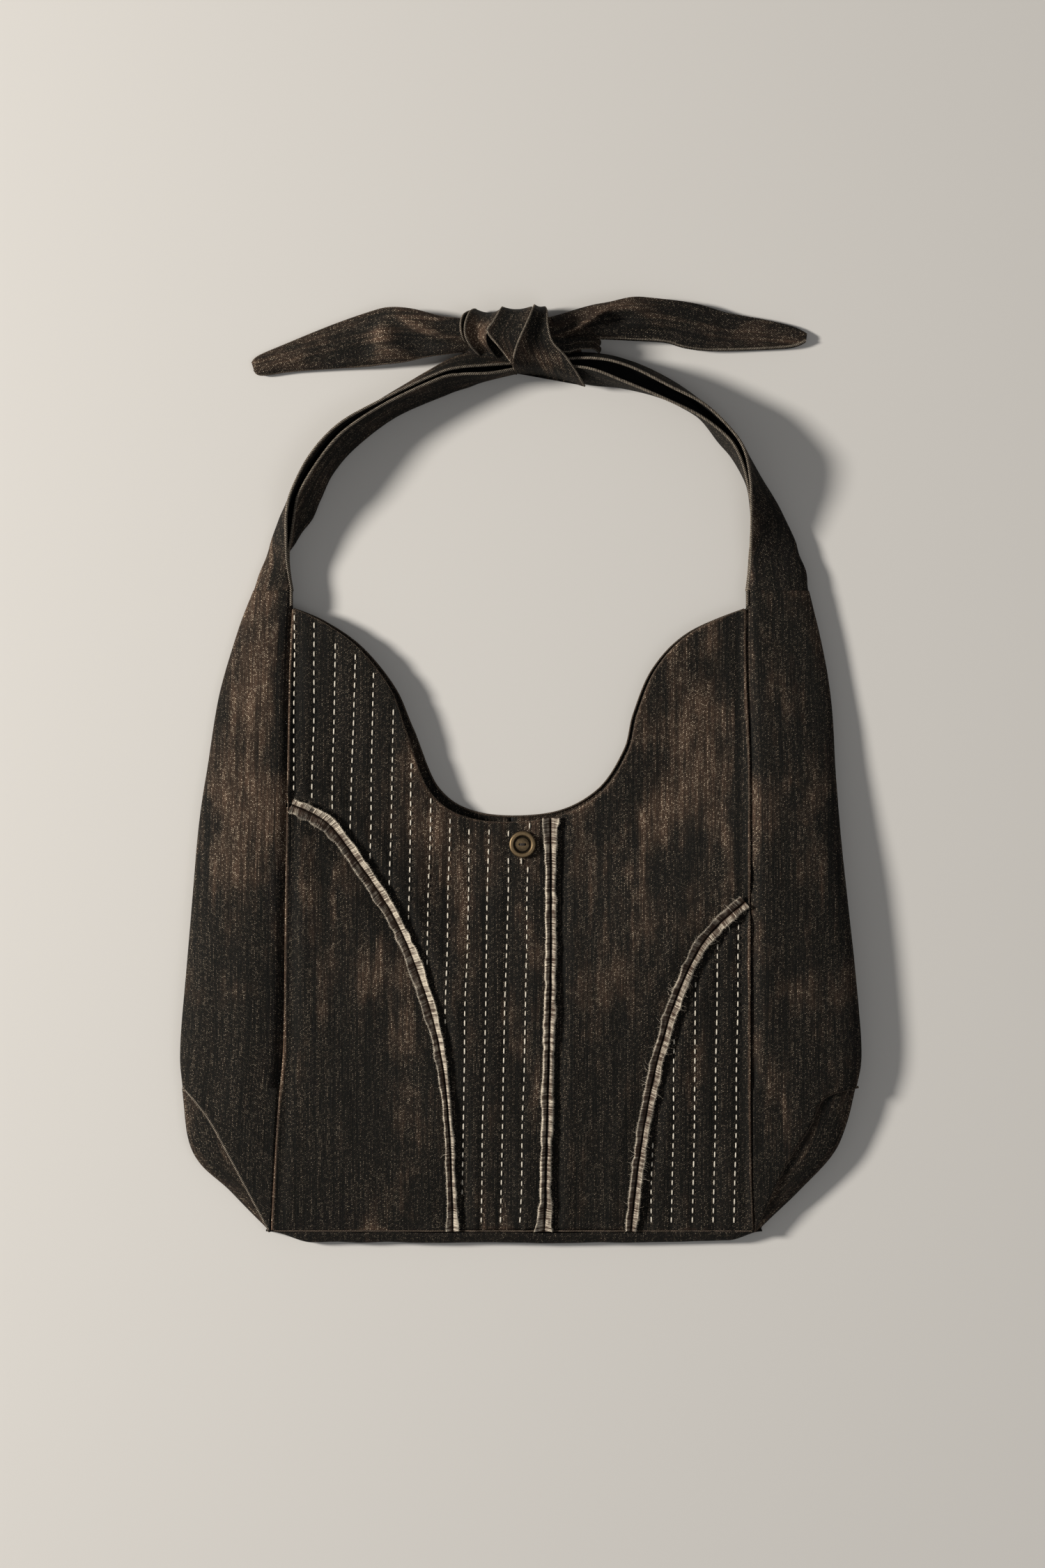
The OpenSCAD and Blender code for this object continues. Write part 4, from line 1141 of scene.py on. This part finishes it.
# ---- Knot and tails: flattened bands between two edges ----
def band(left, right, thick, crown, rows, cols=26, relief=None):
    """A doubled band: its closed sections run between two edge curves. Returns points and places."""
    t = np.linspace(0, 1, rows)
    a = on_curve(left, t * (len(left) - 1))
    b = on_curve(right, t * (len(right) - 1))
    mid, half = (a + b) / 2, (b - a) / 2
    width = np.linalg.norm(half, axis=1, keepdims=True)
    across = half / width
    up = np.cross(across, directions(mid))
    up = up / np.maximum(np.linalg.norm(up, axis=1, keepdims=True), 1e-6)
    turn = 2 * np.pi * np.arange(cols) / cols
    c = np.sign(np.cos(turn)) * np.abs(np.cos(turn)) ** 0.75
    s = np.sign(np.sin(turn)) * np.abs(np.sin(turn)) ** 0.6
    thick, crown = (np.interp(t, np.linspace(0, 1, len(sizes)), sizes)[:, None] for sizes in (thick, crown))
    u, v = width * c, np.broadcast_to(lengths(mid)[:, None], (rows, cols))
    lift = thick * s + crown * (1 - c**2)
    if relief is not None:
        lift = lift + relief(u, v, t[:, None], c[None]) * (s > -0.2)
    return mid[:, None] + across[:, None] * u[..., None] + up[:, None] * lift[..., None], xyz(u, v)


def band_part(points, uv, wear_and_light):
    """A closed band as a part for joined."""
    rows, cols = points.shape[:2]
    tris = end_fans(cols, (rows - 1) * cols)[:, ::-1]
    return points.reshape(-1, 3), grid_quads(rows, cols, wrap=True), tris, uv.reshape(-1, 2), np.ravel(wear_and_light)


def edge_ropes(edges, which=(0, 1), radius=0.65, inset=0.35, lift=0.0):
    """Twisted-looking folded edges along a band's two edges, or along one of them."""
    parts = []
    for pick in which:
        edge, other = whole(edges[pick], 16), whole(edges[1 - pick], 16)
        toward = other[: len(edge)] - edge[: len(other)]
        toward = toward / np.linalg.norm(toward, axis=1, keepdims=True)
        path = resampled(edge + toward * inset + (0, 0, lift), ROPE_STEP)
        parts.append(tube_parts(path, radius, ribs=0.16))
    return parts


# Bands of the knot, x, y and height. Each runs from the top downwards between its left and its
# right edge. The core and the lower edge of the bundle run from left to right.
KNOT_RIM = ([(-29, 297, 2.5), (-31, 299, 8), (-36, 295.5, 18), (-38, 289.5, 23), (-37.5, 283, 24),
             (-35.5, 278.5, 20), (-31, 276, 8)],
            [(-25, 297, 2.5), (-27, 299, 8), (-31.5, 295.5, 16), (-33, 289.5, 20), (-32.5, 283, 21),
             (-31, 278.5, 18), (-27, 275, 8)])
KNOT_LOOP = ([(-26, 297.5, 2), (-29, 300, 7), (-32.3, 296.5, 20), (-35, 288.5, 27), (-35, 281, 28),
              (-32, 275, 25), (-27, 270.5, 17), (-22, 267, 8)],
             [(-9, 298, 2), (-10, 300.5, 7), (-11.3, 298, 25), (-15.5, 290.5, 30), (-20.5, 282.5, 29),
              (-20.5, 276, 27), (-16, 270, 21), (-10, 264.5, 9)])
KNOT_PLEAT = ([(-10, 298, 2), (-11, 300.5, 8), (-12, 298, 27), (-17, 289, 32), (-20.5, 282.5, 33),
               (-12, 271.5, 34), (-4.6, 262, 29), (-2.5, 258.5, 12)],
              [(7, 298.5, 2), (7.5, 301, 8), (8.5, 297.5, 29), (4.5, 288, 33), (1, 279, 33),
               (-2.5, 270, 32.5), (-3.2, 262, 29.5), (-1.5, 258.5, 12)])
KNOT_CROSS = ([(10.5, 299, 2.5), (9.5, 302, 12), (8.5, 297.5, 33), (5, 289, 37.5), (0.5, 279, 38),
               (-3, 270, 35.5), (-4.2, 262, 27), (-1.8, 258.8, 10)],
              [(16, 298, 2.5), (16.5, 301, 10), (17.8, 296, 29), (18.5, 286, 33), (21.5, 276, 32.5),
               (30, 267, 29.5), (39, 254.5, 22), (42.5, 250.3, 9)])
KNOT_CORE = ([(-37, 291, 10), (-20, 292, 10), (6, 293, 12), (22, 295, 13), (40, 299, 12)],
             [(-37, 272, 9), (-20, 265, 9), (6, 261, 9), (22, 262, 10), (40, 272, 10)])
BUNDLE = [(20, 271.5, 27), (31, 270.5, 25.5), (38, 272.5, 23), (47.5, 273.2, 18), (51.5, 271.5, 11)]


def knot_piece(node, parts, ropes):
    """A piece of the knot: its cloth, and the folded edges that show on it."""
    finish_piece(joined(node + "_cloth", parts), strap_denim, node, "strap")
    finish_piece(joined(node + "_edges", ropes), rail_denim, node, "strap")


def wrap_relief(height, grain, seed):
    """Soft unevenness of a band of the knot, none at its edges."""
    return lambda u, v, t, c: height * noise(u, v, grain, seed) * (1 - c**2)


def wrap_part(edges, thick, crown, rows, cols, seed, relief=None, painted_highlight=0.0, worn=0.15):
    """One band of the knot: worn is its mean wear, and the argument before worn gives how strong a painted
    highlight it has 41 mm along it.
    """
    points, uv = band(*edges, thick, crown, rows, cols, relief)
    u, v = uv[..., 0], uv[..., 1]
    worn = 0.35 * noise(u, v, (9, 16), seed) + worn + painted_highlight * bump(v - 41, 11) * bump(u + 2, 10)
    return band_part(points, uv, worn)


def build_knot():
    parts, ropes = [], []
    # The loop's last number is a painted highlight on its lower left, which faces the lamp.
    for edges, crown, seed, painted_highlight in ((KNOT_RIM, (1, 3, 3, 2), 121, 0), (KNOT_LOOP, (2, 5, 6, 4, 2), 123, 1.3),
                                     (KNOT_PLEAT, (1, 3, 3, 1, 0), 125, 0)):
        parts.append(wrap_part(edges, [1.4], crown, 120, 26, seed, wrap_relief(0.6, (8, 26), seed), painted_highlight))
        ropes += edge_ropes(edges, [0])
    knot_piece("knot_collar", parts, ropes)
    relief = wrap_relief(0.9, (9, 30), 127)
    cross = wrap_part(KNOT_CROSS, [1.5], (1, 2, 4, 5, 3), 150, 40, 127, relief, worn=0.05)
    knot_piece("knot_cross", [cross], edge_ropes(KNOT_CROSS))
    parts, ropes = [wrap_part(KNOT_CORE, (4, 6, 6, 6, 3), (3, 4, 4, 6, 2), 90, 26, 131)], []
    for shift in (0.0, 4.6):
        low = [(x, y + shift, z - 0.5 * shift) for x, y, z in BUNDLE]
        high = [(x, y + 4.4, z - 3.5) for x, y, z in low]
        parts.append(wrap_part((high, low), (1.3, 1.3, 1.2), (1, 1, 0.5), 60, 18, 133))
        ropes += edge_ropes((high, low), [1], 0.6)
    knot_piece("knot_core", parts, ropes)


build_knot()


TAIL_THICK = (2.2, 2.4, 2.4, 2.2, 1.8, 1.5)


def tail_relief(u, v, t, c, folds, seed):
    """Unevenness and folds of a tail. Each fold has its place along and across the tail, its length,
    width and height, and its slant."""
    z = 0.6 * noise(u, v, (14, 34), seed) + 0.35 * noise(u, v, (6, 14), seed + 1)
    for at_t, at_c, long, wide, height, slant in folds:
        d = (c - at_c - slant * (t - at_t)) / wide
        z = z + height * np.exp(-(d**2) - ((t - at_t) / long) ** 2)
    return z


def build_tail(side, edges, crown, folds, seed, edge_material, ropes):
    def relief(u, v, t, c):
        return tail_relief(u, v, t, c, folds, seed)

    points, uv = band(*edges, TAIL_THICK, crown, 170, 44, relief)
    points[..., 2] = np.maximum(points[..., 2], 0.3)
    t = np.linspace(0, 1, len(points))[:, None]
    u, v = uv[..., 0], uv[..., 1]
    c = u / np.abs(u).max(1, keepdims=True)
    worn = 0.3 * noise(u, v, (11, 22), seed + 2) + 0.1
    # Painted light and shade: the tail's ridges lighter and the valleys of its folds darker.
    worn = worn + 0.16 * relief(u, v, t, c)
    cloth = joined(f"tail_{side}_cloth", [band_part(points, uv, worn)])
    finish_piece(cloth, strap_denim, f"tail_{side}")
    rims = joined(f"tail_{side}_edges", ropes)
    finish_piece(rims, edge_material, f"tail_{side}")
    for piece in (cloth, rims):
        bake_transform(piece)


# Edges of each tail from the knot to its tip, x, y and height: the left one's lower edge comes
# first, and the right one's upper edge
TAIL_LEFT = ([(-24, 274, 13), (-36, 272, 12), (-58.5, 269.2, 10), (-74, 266, 8.5), (-88, 264.5, 7),
              (-100, 263.2, 5.5), (-122, 262, 4), (-148, 260.2, 3), (-167, 257.8, 2.6), (-172, 261, 2.6)],
             [(-24, 290, 15), (-37, 293, 15), (-50, 294.6, 14), (-69, 299.7, 12), (-83.5, 301, 10),
              (-95, 298.8, 8), (-120.5, 290.4, 5), (-151.5, 278, 3.5), (-169, 270.5, 3), (-173.5, 266, 2.8)])
TAIL_RIGHT = ([(20, 294, 16), (44, 301.3, 15), (58, 304.2, 14), (73, 307.6, 12), (87, 307.2, 10),
               (113, 304.2, 7), (136, 298, 5), (159, 293.9, 4), (178, 289.3, 3), (186.5, 285, 2.8)],
              [(26, 277, 16), (36, 279, 14), (50, 280, 12), (73, 279.5, 9), (94, 278.4, 7),
               (107, 275, 5.5), (122, 273.4, 4), (146, 273.8, 3), (175, 275.4, 2.6), (185.5, 279, 2.6)])
FOLDS_LEFT = [(0.24, 0.2, 0.13, 0.2, 5.0, 2.9), (0.29, -0.3, 0.1, 0.34, -5.5, 1.6),
              (0.47, 0.15, 0.07, 0.4, 3.2, 0.0), (0.57, -0.3, 0.05, 0.3, -2.2, 0.0),
              (0.4, -0.62, 0.09, 0.22, 2.6, 0.0), (0.78, -0.1, 0.1, 0.4, 1.6, -2.0)]
FOLDS_RIGHT = [(0.13, 0.0, 0.08, 0.2, 4.5, -6.5), (0.34, -0.45, 0.12, 0.22, 2.8, 1.2),
               (0.28, 0.02, 0.08, 0.3, -4.5, 1.5), (0.34, 0.3, 0.1, 0.12, 1.6, 0.5),
               (0.45, 0.55, 0.16, 0.2, -2.2, 0.0), (0.62, -0.1, 0.1, 0.35, 1.4, 1.0)]
build_tail("left", TAIL_LEFT, (3, 4, 4.5, 3, 1.5, 1, 0.5), FOLDS_LEFT, 141, edge_denim,
           edge_ropes(TAIL_LEFT, radius=0.6, lift=0.5))
build_tail("right", TAIL_RIGHT, (3, 4, 4, 3, 1.5, 1, 0.5), FOLDS_RIGHT, 151, rail_denim,
           edge_ropes(TAIL_RIGHT, [1], 0.7, 1.3, 1.6))


# ---- Folded edges along the mouth, the side seams and the bottom ----
def rope_on(name, x, y, height, node, body="front", radius=0.6):
    rope = tube_parts(resampled(xyz(x, y, height), ROPE_STEP), radius, ribs=0.13)
    finish_piece(joined(name, [rope]), edge_denim, node, body)


def build_edges():
    s = np.linspace(0.12, MOUTH_END - 0.12, 500)
    x, y = below_mouth(s, 0.45).T
    rope_on("mouth_edge_front", x, y, front_surface(x, y) - 0.8, "front_facing")
    x, y = below_mouth(s, 0.6 - back_lip(s)[:, None]).T
    rope_on("mouth_edge_back", x, y, 1.6, "back_facing", "bag")
    x = np.linspace(-159, 150, 400)
    rope_on("bottom_seam", x, BOTTOM + 0.2, front_surface(x, 0 * x + BOTTOM + 1.2) - 0.7, "front_left_lower")
    y = np.linspace(BOTTOM + 2, 106, 400)
    for side, seam, inset in (("left", SEAM_LEFT, 1.3), ("right", SEAM_RIGHT, -1.3)):
        x = x_on(seam, y) + inset
        rope_on(f"side_seam_{side}", x, y, front_surface(x, y) - 0.5, f"front_{side}_centre", radius=0.5)


build_edges()

# ---- Button ----
BUTTON_FOOT = MOUTH_H + 0.6
HOLE_SPACING = 1.7
HOLE_RADIUS = 0.75


def button_disc():
    profile = whole([(0.02, 2.1), (1.2, 2.05), (2.8, 1.95), (4.0, 1.75), (4.4, 1.7), (4.75, 1.3), (5.0, 1.15),
                     (5.3, 1.25), (5.7, 1.9), (6.2, 2.5), (7.1, 2.6), (7.9, 2.48), (8.45, 1.95),
                     (8.7, 1.1), (8.4, 0.45), (7.5, 0.02), (4, 0), (0.02, 0)], 4)
    turn = 2 * np.pi * np.arange(96) / 96
    far, high = profile[:, :1], profile[:, 1:2]
    x, y = far * np.cos(turn), far * np.sin(turn)
    dents = 0.03 * noise(x, y, 1.1, 161)
    x, y = BUTTON[0] + x, BUTTON[1] + y
    z = BUTTON_FOOT + high + dents * (high > 0.5)
    rub = np.broadcast_to(smooth((high - 1.1) / 1.4) * 0.8 - 0.3 * bump(far - 5.0, 0.5), x.shape)
    return joined("button_disc", [band_part(xyz(x, y, z), xyz(x, y), rub)])


def drill(obj, places):
    """Cut a round hole down through a piece at each place."""
    turn = 2 * np.pi * np.arange(20) / 20
    ring = xyz(HOLE_RADIUS * np.cos(turn), HOLE_RADIUS * np.sin(turn), 0)
    cutters = []
    for x, y in places:
        wall = [ring + (x, y, BUTTON_FOOT + height) for height in (-1, 4)]
        cutter = add_object("hole", wall, grid_quads(2, 20, wrap=True), end_fans(20, 20)[:, ::-1])
        cutters.append(cutter)
        cut = obj.modifiers.new("hole", "BOOLEAN")
        cut.operation = "DIFFERENCE"
        cut.solver = "EXACT"
        cut.object = cutter
    baked = bpy.data.meshes.new_from_object(obj.evaluated_get(bpy.context.evaluated_depsgraph_get()))
    obj.modifiers.clear()
    obj.data = baked
    for cutter in cutters:
        bpy.data.objects.remove(cutter)


def build_button():
    disc = button_disc()
    drill(disc, [(BUTTON[0] + shift, BUTTON[1]) for shift in (-HOLE_SPACING, HOLE_SPACING)])
    finish_piece(disc, old_brass, "button", "button")
    strands = []
    for shift in (-0.42, 0.0, 0.42):
        rise = [(-1.7, shift, 0.0), (-1.7, shift, 1.8), (-1.2, shift * 1.2, 2.55)]
        fall = [(-x, y, z) for x, y, z in rise[::-1]]
        arch = whole([*rise, (0, shift * 1.3, 2.75), *fall], 10)
        path = resampled(arch + (BUTTON[0], BUTTON[1], BUTTON_FOOT - 0.4), 0.14)
        strands.append(tube_parts(path, 0.24, ribs=0.1, pitch=0.7))
    thread = joined("button_thread_strands", strands)
    finish_piece(thread, brown_thread, "button_thread", "front")


build_button()

for node, material in (("snap_socket", new_brass), ("snap_stud", new_brass), ("snap_socket_washer", steel),
                       ("snap_stud_washer", steel)):
    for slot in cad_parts[node].material_slots:
        slot.material = material


# ---- Stage: a plain pale floor and soft studio light ----
def build_floor():
    reach = 6 / MM
    corners = [(-reach, -reach, 0), (reach, -reach, 0), (reach, reach, 0), (-reach, reach, 0)]
    floor = add_object("floor", corners, [(0, 1, 2, 3)])
    s = Shader("pale_floor")
    s.feed(s.main.inputs["Base Color"], (0.62, 0.6, 0.57))
    s.feed(s.main.inputs["Roughness"], 0.9)
    floor.data.materials.append(s.material)


def add_light(name, place, size, power, color):
    data = bpy.data.lights.new(name, "AREA")
    data.shape = "DISK"
    data.size = size
    data.energy = power
    data.color = color
    light = bpy.data.objects.new(name, data)
    light.location = place
    light.rotation_euler = (-Vector(place)).to_track_quat("-Z", "Y").to_euler()
    bpy.context.scene.collection.objects.link(light)


def build_world():
    world = bpy.data.worlds.new("studio")
    world.use_nodes = True
    background = world.node_tree.nodes["Background"]
    background.inputs["Color"].default_value = (0.97, 0.96, 0.95, 1)
    background.inputs["Strength"].default_value = 0.17
    bpy.context.scene.world = world


build_floor()
add_light("key", (-3.3, 0.5, 1.75), 0.6, 225, (1.0, 0.96, 0.9))
add_light("fill", (0.8, -0.6, 2.6), 1.6, 9, (0.95, 0.97, 1.0))
build_world()
bpy.context.scene.view_settings.view_transform = "Standard"
